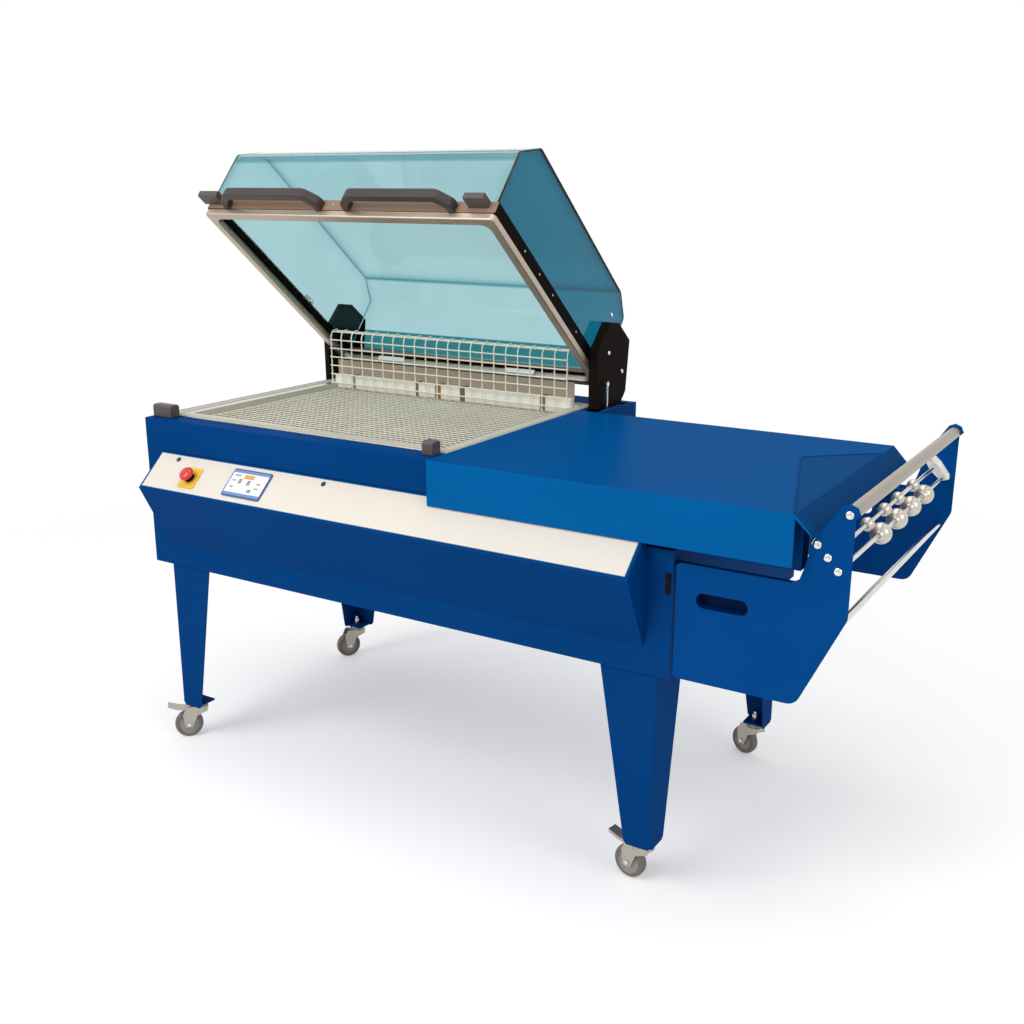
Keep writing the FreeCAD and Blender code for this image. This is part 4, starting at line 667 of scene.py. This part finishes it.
def makeConsole():
    copyNode("console_fascia", "fascia", 0.0004, 1)
    # painted highlight: a thin light blue wire along the fascia's border
    edge = [slopeMatrix @ mm(u, v, 1.1) for u, v in rectangle(*console["fascia"])]
    wires("fascia_edge", [edge + edge[:1]], 0.0009, "fasciaEdgeHighlight", "machine", 0.0, 6)
    makeScreen()
    x, v = console["stop"]
    wide, high, thick = console["plate"]
    centre = slopeMatrix @ Matrix.Translation(mm(x, v, 0))
    platePiece("stop_plate", rounded(middled(x, v, wide, high), 4), 1, thick, slopeMatrix, "yellow", "machine",
               replaces=("stop_button_base",), bevel=0.0008)
    turnedPiece("stop_collar", console["collar"], centre, 32, "dark", "machine")
    turnedPiece("stop_head", console["head"], centre, 40, "red", "stop_button", replaces=("stop_button",))
    shape = bmesh.new()
    for x, v in console["plugs"]:
        lathe(shape, console["plug"], slopeMatrix @ Matrix.Translation(mm(x, v, 0)), 24)
    pieceFrom("console_plugs", shape, "badge", "machine")
    print("console made")


makeConsole()

# Hood: everything is placed closed about the pivot and swung open by hoodMatrix

hood = {
    "left": 26, "right": 976, "front": -823, "back": -74, "bottom": -8,
    "barTop": 12, "frameTop": 45, "coverTop": 272, "inset": 4, "sheet": 5,
    "frontBend": 68, "rearBend": 45,
    "barWidth": 24, "cornerRounds": (12, 26), "creaseShadeReach": 14,
    "handles": (93, 514), "handleLength": 348, "handleReach": 58, "handleBar": 22, "handleRise": (10, 38),
    "catches": ((11, 69), (895, 58)),
    "clips": ((68, -370, 1), (934, -445, -1)), "clipRise": 30,
    "clipDrum": [(0, 1), (6, 1), (6, 7), (4.5, 8.5), (0, 8.5)],
    "rearBlocks": ((185, 285), (665, 765)),
    "sideRivets": (-655, -560, -470, -300), "frontRivets": (70, 470, 500, 935),
    # screws: their side of the hood, distance from it, and places
    "screws": ((1, 30, ((-145, 64), (-39, 71))), (1, -4, ((-148, 190), (-158, 132))),
               (-1, 18, ((-150, 60), (-110, 128), (-30, 60)))),
}


def coverOutline(inset):
    front, back = hood["front"] + hood["inset"] + inset, hood["back"] - hood["inset"] - inset
    top = hood["coverTop"] - inset
    cut, rear = hood["frontBend"] - inset * 0.42, hood["rearBend"] + inset * 0.42
    return [(front, hood["frameTop"] + 0.2), (front, hood["coverTop"] - hood["frontBend"] - inset * 0.42),
            (front + cut, top), (back - hood["frontBend"] + inset * 0.42, top),
            (back, hood["coverTop"] - rear), (back, hood["frameTop"] + 0.2)]


# painted crease shade: how strongly the sheet's colour is darkened at a given distance from a fold or joint
def creaseShadeFalloff(distance):
    return math.exp(-distance / hood["creaseShadeReach"])


def coverWrap(shape, layer):
    left, right, sheet = hood["left"] + hood["inset"], hood["right"] - hood["inset"], hood["sheet"]
    ends = [0, 6, 14, 26, 44, 70]
    length = right - left - 2 * sheet - 0.6
    columns = ends + [length / 2] + [length - reach for reach in reversed(ends)]
    grids = []
    for inset, bend in ((0, 18), (sheet, 14)):
        corners = [Vector(point) for point in coverOutline(inset)]
        line = [(corners[0], 0, 0)]
        for panel, (start, end) in enumerate(zip(corners, corners[1:])):
            span = (end - start).length
            near = [share for share in ends[1:] if share < span * 0.45]
            top = panel == 2
            line += [(start.lerp(end, reach / span), 0, top) for reach in near]
            line += [(end.lerp(start, reach / span), top * creaseShadeFalloff(reach - 6), top)
                     for reach in reversed(near)]
        line.append((corners[-1], 0, 0))
        rows = []
        # painted crease shade: each vertex takes the stronger darkening of the top panel's fold ends and of the
        # side joints
        for point, depth, top in line:
            row = []
            for column in columns:
                side = creaseShadeFalloff(min(column, length - column)) * (0.8 if top else 0.25)
                vert = shape.verts.new(hoodMatrix @ mm(left + sheet + 0.3 + column, point.x, point.y))
                vert[layer] = max(depth, side)
                row.append(vert)
            rows.append(row)
        grids.append(rows)
    outer, inner = grids
    strip = len(outer) // 5
    for rows in grids:
        for number, (first, second) in enumerate(zip(rows, rows[1:])):
            # painted light: the front strip takes a paler copy of the teal, and the lower rear band a darker
            # copy as painted shade
            slot = 1 if number < strip else 2 if number > len(rows) - 7 else 0
            for step in range(len(columns) - 1):
                face = shape.faces.new((first[step], first[step + 1], second[step + 1], second[step]))
                face.material_index = slot
    for near, far in zip(outer[0:1] + outer[-1:], inner[0:1] + inner[-1:]):
        for step in range(len(columns) - 1):
            shape.faces.new((near[step], near[step + 1], far[step + 1], far[step]))
    for column in (0, -1):
        for step in range(len(outer) - 1):
            shape.faces.new((outer[step][column], outer[step + 1][column],
                             inner[step + 1][column], inner[step][column]))


def coverSide(shape, layer, low):
    edges = []
    for x in (low, low + hood["sheet"]):
        rows = []
        for inset in (0, 6, 14, 26, 44, 70):
            bend = [0] + [max(18 - inset, 5)] * 4 + [0]
            row = [shape.verts.new(hoodMatrix @ mm(x, y, z)) for y, z in rounded(coverOutline(inset), bend)]
            # painted crease shade along the side panel's edges
            for vert in row:
                vert[layer] = creaseShadeFalloff(inset) * 0.3
            rows.append(row)
        for near, far in zip(rows, rows[1:]):
            for step in range(len(near) - 1):
                shape.faces.new((near[step], near[step + 1], far[step + 1], far[step]))
        shape.faces.new(rows[-1])
        edges.append(rows[0] + [row[-1] for row in rows[1:]] + [row[0] for row in reversed(rows[1:])])
    bridge(shape, *edges)


def makeCover():
    left, right, sheet = hood["left"] + hood["inset"], hood["right"] - hood["inset"], hood["sheet"]
    shape = bmesh.new()
    coverWrap(shape, shape.verts.layers.float.new("paintedCreaseShade"))
    pieceFrom("cover_wrap", shape, ["acrylic", "acrylicFrontPaintedLight", "acrylicLowPaintedShade"], "hood", replaces=("hood_cover",))
    # painted shade: the right side panel takes the darker copy of the teal
    for name, low, label in (("left", left, "acrylic"), ("right", right - sheet, "acrylicSide")):
        shape = bmesh.new()
        coverSide(shape, shape.verts.layers.float.new("paintedCreaseShade"), low)
        pieceFrom("cover_side_" + name, shape, label, "hood")
    # the polished edges of the side panels look dark
    outer = rounded(coverOutline(1), [0, 18, 18, 18, 18, 0])
    paths = [[hoodMatrix @ mm(x, y, z) for y, z in outer] for x in (left - 0.6, right + 0.6)]
    wires("cover_edges", paths, 0.0017, "acrylicEdge", "hood", 0.0, 6)
    print("cover made")


def makeHandle(name, left, replaces):
    right, out = left + hood["handleLength"], hood["front"] - hood["handleReach"]
    bar, slant, foot = hood["handleBar"], hood["handleReach"] * 0.62, hood["front"] + 1
    inner = slant - bar * 0.6
    outline = [
        (left, foot), (left, out + slant), (left + slant, out), (right - slant, out), (right, out + slant),
        (right, foot), (right - bar, foot), (right - bar, out + bar + inner),
        (right - bar - inner, out + bar), (left + bar + inner, out + bar), (left + bar, out + bar + inner),
        (left + bar, foot),
    ]
    bends = [0, 26, 30, 30, 26, 0, 0, 12, 18, 18, 12, 0]
    platePiece(name, rounded(outline, bends, 6), *hood["handleRise"], hoodMatrix, "handle", "hood",
               replaces=replaces, bevel=0.0042, steps=4)


def makeCatch(shape, left, length):
    front, low, high = -860, 25, 44
    block = [(front, low), (hood["front"], low), (hood["front"], high), (front, high)]
    slab(shape, rounded(block, [5, 0, 0, 5], 4), left, left + length, hoodMatrix, "yz")
    for start in (left + 8, left + length - 22):
        strap = rounded(rectangle(start, start + 14, front + 8, hood["front"]), 3, 3)
        slab(shape, strap, high - 0.5, high + 2, hoodMatrix)


def makeClip(shape, x, y, z, way):
    # a small over-centre clip: base plate, drum and bent tongue
    slab(shape, rounded(middled(y, z, 44, 12), 3), x, x + way * 2, hoodMatrix, "yz")
    turned = hoodMatrix @ Matrix.Translation(mm(x, y + 8, z)) @ Matrix.Rotation(way * math.pi / 2, 4, "Y")
    lathe(shape, hood["clipDrum"], turned, 18)
    tongue = [(y - 26, z + 1), (y - 4, z + 6), (y + 8, z + 4), (y + 8, z + 1), (y - 4, z + 3), (y - 26, z - 2)]
    slab(shape, tongue, x + way * 3, x + way * 5, hoodMatrix, "yz")


def frameLightByFacing(normal, middle):
    # painted light: faces turned to the front take the lighter copy
    local = hoodTurn.to_3x3().transposed() @ normal
    return 1 if local.y < -0.5 else 0


def makeHoodFrame():
    left, right, front, back = hood["left"], hood["right"], hood["front"], hood["back"]
    width = hood["barWidth"]
    shape = bmesh.new()
    frameRing(shape, rectangle(left, right, front, back),
              rectangle(left + width, right - width, front + width, back - width),
              hood["bottom"], hood["barTop"], hoodMatrix, hood["cornerRounds"])
    pieceFrom("seal_bar", shape, "bar", "hood", replaces=("hood_seal_bar",), bevel=0.0035, steps=3)
    copyNode("hood_frame", ["dark", "taupe"], 0.0012, paint=frameLightByFacing)
    for label, start in zip(("left", "right"), hood["handles"]):
        makeHandle("grip_" + label, start, ("hood_handle_" + label,))
    shape = bmesh.new()
    for start, length in hood["catches"]:
        makeCatch(shape, start, length)
    pieceFrom("catch_blocks", shape, "post", "hood", replaces=("hood_catches",), bevel=0.0022, steps=3)
    shape = bmesh.new()
    for x, y, way in hood["clips"]:
        makeClip(shape, x, y, hood["clipRise"], way)
    pieceFrom("cover_clips", shape, "bright", "hood", bevel=0.0005, steps=1)
    shape = bmesh.new()
    for start, end in hood["rearBlocks"]:
        slab(shape, rectangle(start, end, back - width - 7, back - width), -6, 10, hoodMatrix)
    pieceFrom("rear_blocks", shape, "white", "hood", bevel=0.0016)
    for node in ("hinge_bracket_left", "hinge_bracket_right"):
        copyNode(node, "black", 0.0016)
    copyNode("hinge_pins", "bright", 0.0008)
    side, ahead = (hoodMatrix.to_3x3() @ Vector(way) for way in ((1, 0, 0), (0, -1, 0)))
    rivets = [(hoodMatrix @ mm(x, y, 28), side * way)
              for y in hood["sideRivets"] for x, way in ((right, 1), (left, -1))]
    rivets += [(hoodMatrix @ mm(x, front, 30), ahead) for x in hood["frontRivets"]]
    fasteners("frame_rivets", rivets, heads["rivet"], "zinc", "hood")
    screws = []
    for way, out, places in hood["screws"]:
        x = (right if way > 0 else left) + way * out
        screws += [(hoodMatrix @ mm(x, y, z), side * way) for y, z in places]
    fasteners("bracket_screws", screws, heads["rivet"], "bright", "hood", 2.0)
    print("hood frame made")


makeCover()
makeHoodFrame()

# Chamber

chamber = {
    "left": 84, "right": 924, "front": 100, "back": 740, "top": 934,
    "meshX": 17.2, "meshY": 21.5, "wire": 1.7, "rimTop": 950,
    "guardLeft": 72, "guardPitch": 40.8, "guardCount": 22, "guardY": 707, "guardTop": 1117,
    "guardRows": 6, "guardRow": 27, "guardBend": 32, "guardWire": 2.1,
    "trayBars": (0.12, 0.31, 0.415, 0.53, 0.545, 0.66, 0.85), "trayRim": 9, "trayBar": 5,
    "row": (73, 934), "rowFront": 718, "rowBack": 741.7, "rowHeight": 42, "plateBack": 744,
    "plateTop": 1020,
    "blocks": [(0, 0.077), (0.093, 0.367), (0.381, 0.453), (0.478, 0.557), (0.58, 0.883), (0.903, 1)],
    "posts": [(0.085, 12, "greyPost"), (0.374, 10, "greyPost"), (0.4655, 21, "brown"), (0.5685, 13, "greyPost"),
              (0.893, 14, "greyPost")],
}


def pitched(start, end, pitch):
    return [start + pitch * step for step in range(1, int((end - start) / pitch) + 1)]


def makeChamber():
    copyNode("chamber_well", ["rim", "chamber"], 0.0014, paint=lambda normal, middle: int(middle.z < 0.9455))
    copyNode("seal_pad", "seal", 0.0006, 1)
    copyNode("catch_posts", "post", 0.003, 3)
    makeBlocks()
    left, right, front, back, top, wire, rim = (
        chamber[key] for key in ("left", "right", "front", "back", "top", "wire", "trayRim"))
    high, low = top - 1.5 * wire, top - 3.5 * wire
    bar = chamber["trayBar"]
    paths = [[at(left + bar, y, high), at(right - bar, y, high)]
             for y in pitched(front, back, chamber["meshY"])]
    wires("mesh_long", paths, wire / 1000, "mesh", "machine", 0.0, 6, ("mesh_tray",))
    paths = [[at(x, front + bar, low), at(x, back - bar, low)] for x in pitched(left, right, chamber["meshX"])]
    wires("mesh_cross", paths, wire / 1000, "mesh", "machine", 0.0, 6)
    shape = bmesh.new()
    inner = rectangle(left + rim, right - rim, front + rim, back - rim)
    frameRing(shape, rectangle(left, right, front, back), inner, top - 8, top, machineMatrix, (3, 2))
    for share in chamber["trayBars"]:
        x = left + (right - left) * share
        slab(shape, rectangle(x - 3, x + 3, front + 6, back - 6), top - 18, top - 8.5, machineMatrix)
    pieceFrom("tray_frame", shape, "mesh", "machine", bevel=0.0012)
    makeGuard()
    print("chamber made")


def makeBlocks():
    start, end = chamber["row"]
    front, back, low = (chamber[key] for key in ("rowFront", "rowBack", "top"))
    high = low + chamber["rowHeight"]
    shape = bmesh.new()
    for shares in chamber["blocks"]:
        left, right = (start + (end - start) * share for share in shares)
        slab(shape, rectangle(left, right, front, back), low, high, machineMatrix)
    pieceFrom("block_row", shape, "white", "machine", replaces=("insulating_blocks",), bevel=0.0022)
    platePiece("rear_plate", rectangle(start - 5, end, back + 0.3, chamber["plateBack"]), chamber["rimTop"],
               chamber["plateTop"], machineMatrix, "rearPlate", "machine", bevel=0.0006, steps=1)
    for number, (share, wide, label) in enumerate(chamber["posts"]):
        x = start + (end - start) * share
        outline = rounded(rectangle(x - wide / 2, x + wide / 2, front + 3, back - 2), 2, 3)
        platePiece(f"block_post_{number}", outline, low, high + 3, machineMatrix, label, "machine",
                   bevel=0.0008)


def makeGuard():
    top, bend, count, pitch, left = (
        chamber["guard" + key] for key in ("Top", "Bend", "Count", "Pitch", "Left"))
    y, radius, low = chamber["guardY"], chamber["guardWire"] / 1000, chamber["top"] + 2
    right = left + pitch * (count - 1)
    paths = []
    for step in range(count):
        x = left + pitch * step
        # the wires at the ends stand on the rim, the others reach the tray
        foot = low if chamber["left"] < x < chamber["right"] else chamber["rimTop"] + 1
        paths.append([at(x, y, foot), at(x, y, top), at(x, y + bend, top)])
    wires("guard_uprights", paths, radius, "guard", "machine", 0.022, 8, ("wire_guard",))
    first = max(low + 6, chamber["rimTop"] + 3)
    rows = [(y - 4, first + chamber["guardRow"] * row) for row in range(chamber["guardRows"])]
    rows += [(y + 8, top - 4.5), (y + bend - 2, top - 4)]
    paths = [[at(left - 2, y, z), at(right + 2, y, z)] for y, z in rows]
    wires("guard_rows", paths, radius, "guard", "machine", 0.0, 8)


makeChamber()

# Film carriage

carriage = {
    "front": 3, "back": 932, "sheet": 3,
    "roller": (1939, 955, 14.5), "upper": (1903, 864, 15.5), "lower": (1925, 839, 24), "plain": (1881, 887),
    "upperBalls": (282, 420, 536, 678), "lowerBalls": (314, 449, 575, 704),
    "tie": (1922, 711, 8), "rod": 5,
    "slot": (1691, 726, 114, 33), "cupDepth": 22,
}
alongY = Matrix.Rotation(-math.pi / 2, 4, "X")


def rod(name, x, z, radius, start, end, material, body, replaces=(), chamfer=1.0):
    length = end - start
    profile = [(0, 0), (radius - chamfer, 0), (radius, chamfer), (radius, length - chamfer),
               (radius - chamfer, length), (0, length)]
    matrix = Matrix.Translation(at(x, start, z)) @ alongY
    turnedPiece(name, profile, matrix, 36, material, body, replaces=replaces)


def ballProfile(radius):
    points = [(5.2, -radius * 0.96), (7, -radius * 0.96), (9, -radius * 0.86)]
    start = math.degrees(math.acos(9.6 / radius))
    for step in range(13):
        angle = math.radians(-start + 2 * start * step / 12)
        points.append((radius * math.cos(angle), radius * 0.9 * math.sin(angle)))
    return points + [(9, radius * 0.86), (7, radius * 0.96), (5.2, radius * 0.96), (5.2, -radius * 0.96)]


def makeBalls(name, spot, places, body, replaces):
    shape = bmesh.new()
    x, z, radius = spot
    for y in places:
        lathe(shape, ballProfile(radius), Matrix.Translation(at(x, y, z)) @ alongY, 32)
    pieceFrom(name, shape, "pearl", body, replaces=replaces)


def makeGripCup():
    # a moulded cup behind the front hand slot
    x, z, length, height = carriage["slot"]
    depth = carriage["cupDepth"]
    shape = bmesh.new()
    rings = []
    for grow, reach in ((5, 0.3), (-1, 0.3), (-2.5, 6), (-4.5, depth), (5, depth + 2)):
        outline = rounded(middled(x, z, length + 2 * grow, height + 2 * grow), (height / 2 + grow) * 0.98, 6)
        y = carriage["front"] + carriage["sheet"] + reach
        rings.append([shape.verts.new(at(u, y, v)) for u, v in outline])
    for first, second in ((1, 2), (2, 3), (1, 0), (0, 4)):
        bridge(shape, rings[first], rings[second])
    shape.faces.new(rings[3])
    shape.faces.new(rings[4])
    # painted shade: the cup takes a dark copy of the blue, for the shade inside the hand slot
    pieceFrom("grip_cup", shape, "gripBlue", "carriage")


def makeCarriage():
    start, end = carriage["front"] + carriage["sheet"], carriage["back"] - carriage["sheet"]
    rod("roller_tube", *carriage["roller"], start + 0.4, end - 0.4, "roller", "top_roller", ("top_roller",),
        1.6)
    for label, body in (("upper", "upper_shaft"), ("lower", "lower_shaft"), ("plain", "plain_rod")):
        x, z = carriage[label][:2]
        rod(body + "_bar", x, z, carriage["rod"], start + 0.3, end - 0.3, "bright", body, (body,), 0.6)
    makeBalls("small_balls", carriage["upper"], carriage["upperBalls"], "upper_shaft", ("small_ball_wheels",))
    makeBalls("large_balls", carriage["lower"], carriage["lowerBalls"], "lower_shaft", ("large_ball_wheels",))
    rod("tie_bar", *carriage["tie"], start, end, "bright", "carriage", ("tie_rod",), 0.8)
    copyNode("film_combs", "white", 0.0022, 3)
    makeGripCup()
    spots = []
    for label in ("roller", "upper", "lower", "plain"):
        x, z = carriage[label][:2]
        for side, way in (("front", -1), ("back", 1)):
            spots.append((at(x, carriage[side], z), Vector((0, way, 0))))
    bolts = fasteners("plate_bolts", spots, heads["button"], "bright", "carriage")
    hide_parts("carriage_bolts")
    print("carriage made")


makeCarriage()

# Casters: each is drawn about its stem, with the wheel towards +X

caster = {
    "bolt": 17.2,
    "wheel": [(4.2, -13.4), (9, -13.4), (10, -12.4), (14, -12.2), (16, -9), (27, -8), (29, -11.8), (32, -12),
              (36.4, -11.4), (39, -8.6), (40, -4.5), (40, 4.5), (39, 8.6), (36.4, 11.4), (32, 12),
              (29, 11.8), (27, 8), (16, 9), (14, 12.2), (10, 12.4), (9, 13.4), (4.2, 13.4), (4.2, -13.4)],
    "treadStart": 29,
    "stem": [(0, 5.6), (10, 5.6), (10, 14), (6, 15), (6, 17), (9, 17), (9, 24), (5, 25), (5, 32), (0, 33)],
    "ring": [(0, 0.6), (21, 0.6), (23.6, 2), (23.6, 4.4), (18, 6.2), (12, 6.8), (12, 7.6), (0, 7.6)],
}


def makeCasters():
    for corner in ("front_left", "front_right", "back_left", "back_right"):
        joint = joints["wheel_" + corner]
        axis, centre = Vector(joint["axis"]), Vector(joint["pos_m"])
        matrix = Matrix.Translation(centre) @ Vector((0, 0, 1)).rotation_difference(axis).to_matrix().to_4x4()
        shape = bmesh.new()
        for item in lathe(shape, caster["wheel"], matrix, 40):
            middle = item.calc_center_median() - centre
            spread = (middle - axis * middle.dot(axis)).length * 1000
            item.material_index = 0 if spread > caster["treadStart"] else 1
        pieceFrom("wheel_" + corner, shape, ["tread", "hub"], "caster_wheel_" + corner,
                  replaces=("caster_wheel_" + corner,))
        copyNode("caster_fork_" + corner, "zinc", 0.0009)
        spots = [(centre + way * caster["bolt"] / 1000, way) for way in (axis, -axis)]
        fasteners("axle_nuts_" + corner, spots, heads["hex"], "bright", "caster_fork_" + corner, 0.95)
        stem = Vector(joints["swivel_" + corner]["pos_m"])
        turnedPiece("swivel_ring_" + corner, caster["ring"], Matrix.Translation(stem), 32, "zinc", "machine")
        stem.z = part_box("caster_mounts")[1].z
        turnedPiece("stem_bolt_" + corner, caster["stem"], Matrix.Translation(stem), 20, "bright", "machine")
        if "front" in corner:
            copyNode("brake_pedal_" + corner, "zinc", 0.0012)
    copyNode("caster_mounts", "zinc", 0.0008)
    print("casters made")


makeCasters()

# The other nodes take a finish, and the rivets of table and cabinet are added

finishes = {
    "hinge_bearings": ("black", 0.0014), "strut_cylinder": ("black", 0.0008),
    "strut_rod": ("bright", 0.0005, 1), "carriage_guides": ("blue", 0.0006, 1),
}
innerNodes = ("fan_impeller", "fan_motor", "heater_coil", "control_box")
rivetRows = {
    "table_rivets": ((1, 0, 0), [(1843, y, 930) for y in (90, 300, 520, 620)], "bright", 1.0),
    "cabinet_rivets": ((0, -1, 0), [(40, 0, 560), (1545, 0, 590), (1545, 0, 760), (800, 0, 560),
                                    (1200, 0, 560)], "blue", 0.9),
}


def makeRemaining():
    for node, finish in finishes.items():
        copyNode(node, *finish)
    for node in innerNodes:
        mesh = frame["nodes"][node].data
        if not mesh.materials:
            mesh.materials.append(None)
        for index in range(len(mesh.materials)):
            mesh.materials[index] = materials["galvanised"]
    for name, (way, places, material, size) in rivetRows.items():
        spots = [(at(*place), Vector(way)) for place in places]
        fasteners(name, spots, heads["rivet"], material, "machine", size)
    print("remaining finishes made")


makeRemaining()

# Studio: camera, lamps, floor and backdrop

studio = {
    "camera": (2520.71, -2166.30, 1559.55),
    "yaw": 31.68, "pitch": -15.56, "roll": 0.13,
    "focalPixels": 1172.16, "imagePixels": 1024, "sensor": 36.0,
    "worldLight": 0.5, "floorColour": 0.86, "floorLift": 0.3, "floorFade": (1.7, 3.6), "floorReach": 14,
    "lamps": [("key", (-1.6, -3.6, 3.6), 3.0, 112), ("side", (4.2, -1.2, 2.6), 2.2, 34),
              ("top", (0.2, 0.4, 4.2), 3.4, 56)],
}


def makeCamera():
    yaw, pitch, roll = (math.radians(studio[key]) for key in ("yaw", "pitch", "roll"))
    ahead = Vector((-math.sin(yaw) * math.cos(pitch), math.cos(yaw) * math.cos(pitch), math.sin(pitch)))
    rightWay = Vector((math.cos(yaw), math.sin(yaw), 0))
    upWay = rightWay.cross(ahead)
    rightWay, upWay = (rightWay * math.cos(roll) + upWay * math.sin(roll),
                       upWay * math.cos(roll) - rightWay * math.sin(roll))
    data = bpy.data.cameras.new("photoCamera")
    data.sensor_width = studio["sensor"]
    data.lens = studio["focalPixels"] / studio["imagePixels"] * studio["sensor"]
    data.clip_end = 100
    camera = link(bpy.data.objects.new("photoCamera", data))
    matrix = Matrix((rightWay, upWay, -ahead)).transposed().to_4x4()
    matrix.translation = at(*studio["camera"])
    camera.matrix_world = matrix
    bpy.context.scene.camera = camera


def makeLamps():
    for name, place, size, power in studio["lamps"]:
        data = bpy.data.lights.new(name, "AREA")
        data.size = size
        data.energy = power
        lamp = link(bpy.data.objects.new(name, data))
        aim = Vector((0, 0, 0.7)) - Vector(place)
        lamp.location = place
        lamp.rotation_euler = aim.to_track_quat("-Z", "Y").to_euler()


def rayMask(tree):
    path = addNode(tree, "ShaderNodeLightPath")
    first = addMath(tree, "MAXIMUM", path.outputs["Is Camera Ray"], path.outputs["Is Glossy Ray"])
    return addMath(tree, "MAXIMUM", first, path.outputs["Is Transmission Ray"])


def makeWorld():
    world = bpy.data.worlds.new("studio")
    bpy.context.scene.world = world
    world.use_nodes = True
    tree = world.node_tree
    background = tree.nodes["Background"]
    background.inputs["Color"].default_value = (1, 1, 1, 1)
    span = addNode(tree, "ShaderNodeMapRange")
    span.inputs["To Min"].default_value = studio["worldLight"]
    join(tree, (rayMask(tree), span.inputs["Value"]), (span.outputs["Result"], background.inputs["Strength"]))


def makeFloor():
    mesh = bpy.data.meshes.new("floor")
    reach = studio["floorReach"]
    mesh.from_pydata([(x, y, 0) for x, y in rectangle(-reach, reach, -reach, reach)], [], [(0, 1, 2, 3)])
    material = bpy.data.materials.new("studio floor")
    material.use_nodes = True
    tree = material.node_tree
    tree.nodes.remove(tree.nodes["Principled BSDF"])
    diffuse = addNode(tree, "ShaderNodeBsdfDiffuse")
    diffuse.inputs["Color"].default_value = (studio["floorColour"],) * 3 + (1,)
    lift = addNode(tree, "ShaderNodeEmission")
    # the floor turns plain white away from the machine
    distance = addNode(tree, "ShaderNodeVectorMath", operation="LENGTH")
    fade = addNode(tree, "ShaderNodeMapRange", interpolation_type="SMOOTHSTEP")
    fade.inputs["From Min"].default_value, fade.inputs["From Max"].default_value = studio["floorFade"]
    mask = rayMask(tree)
    near = addNode(tree, "ShaderNodeAddShader")
    plain = addNode(tree, "ShaderNodeEmission")
    total = addNode(tree, "ShaderNodeMixShader")
    join(tree, (addNode(tree, "ShaderNodeTexCoord").outputs["Object"], distance.inputs[0]),
         (distance.outputs["Value"], fade.inputs["Value"]),
         (addMath(tree, "MULTIPLY", mask, studio["floorLift"]), lift.inputs["Strength"]),
         (diffuse.outputs[0], near.inputs[0]), (lift.outputs[0], near.inputs[1]),
         (addMath(tree, "MULTIPLY", mask, fade.outputs["Result"]), total.inputs["Fac"]),
         (near.outputs[0], total.inputs[1]), (plain.outputs[0], total.inputs[2]),
         (total.outputs[0], tree.nodes["Material Output"].inputs["Surface"]))
    mesh.materials.append(material)
    link(bpy.data.objects.new("floor", mesh))


makeCamera()
makeLamps()
makeWorld()
makeFloor()
bpy.context.scene.view_settings.view_transform = "Standard"
print("studio made")
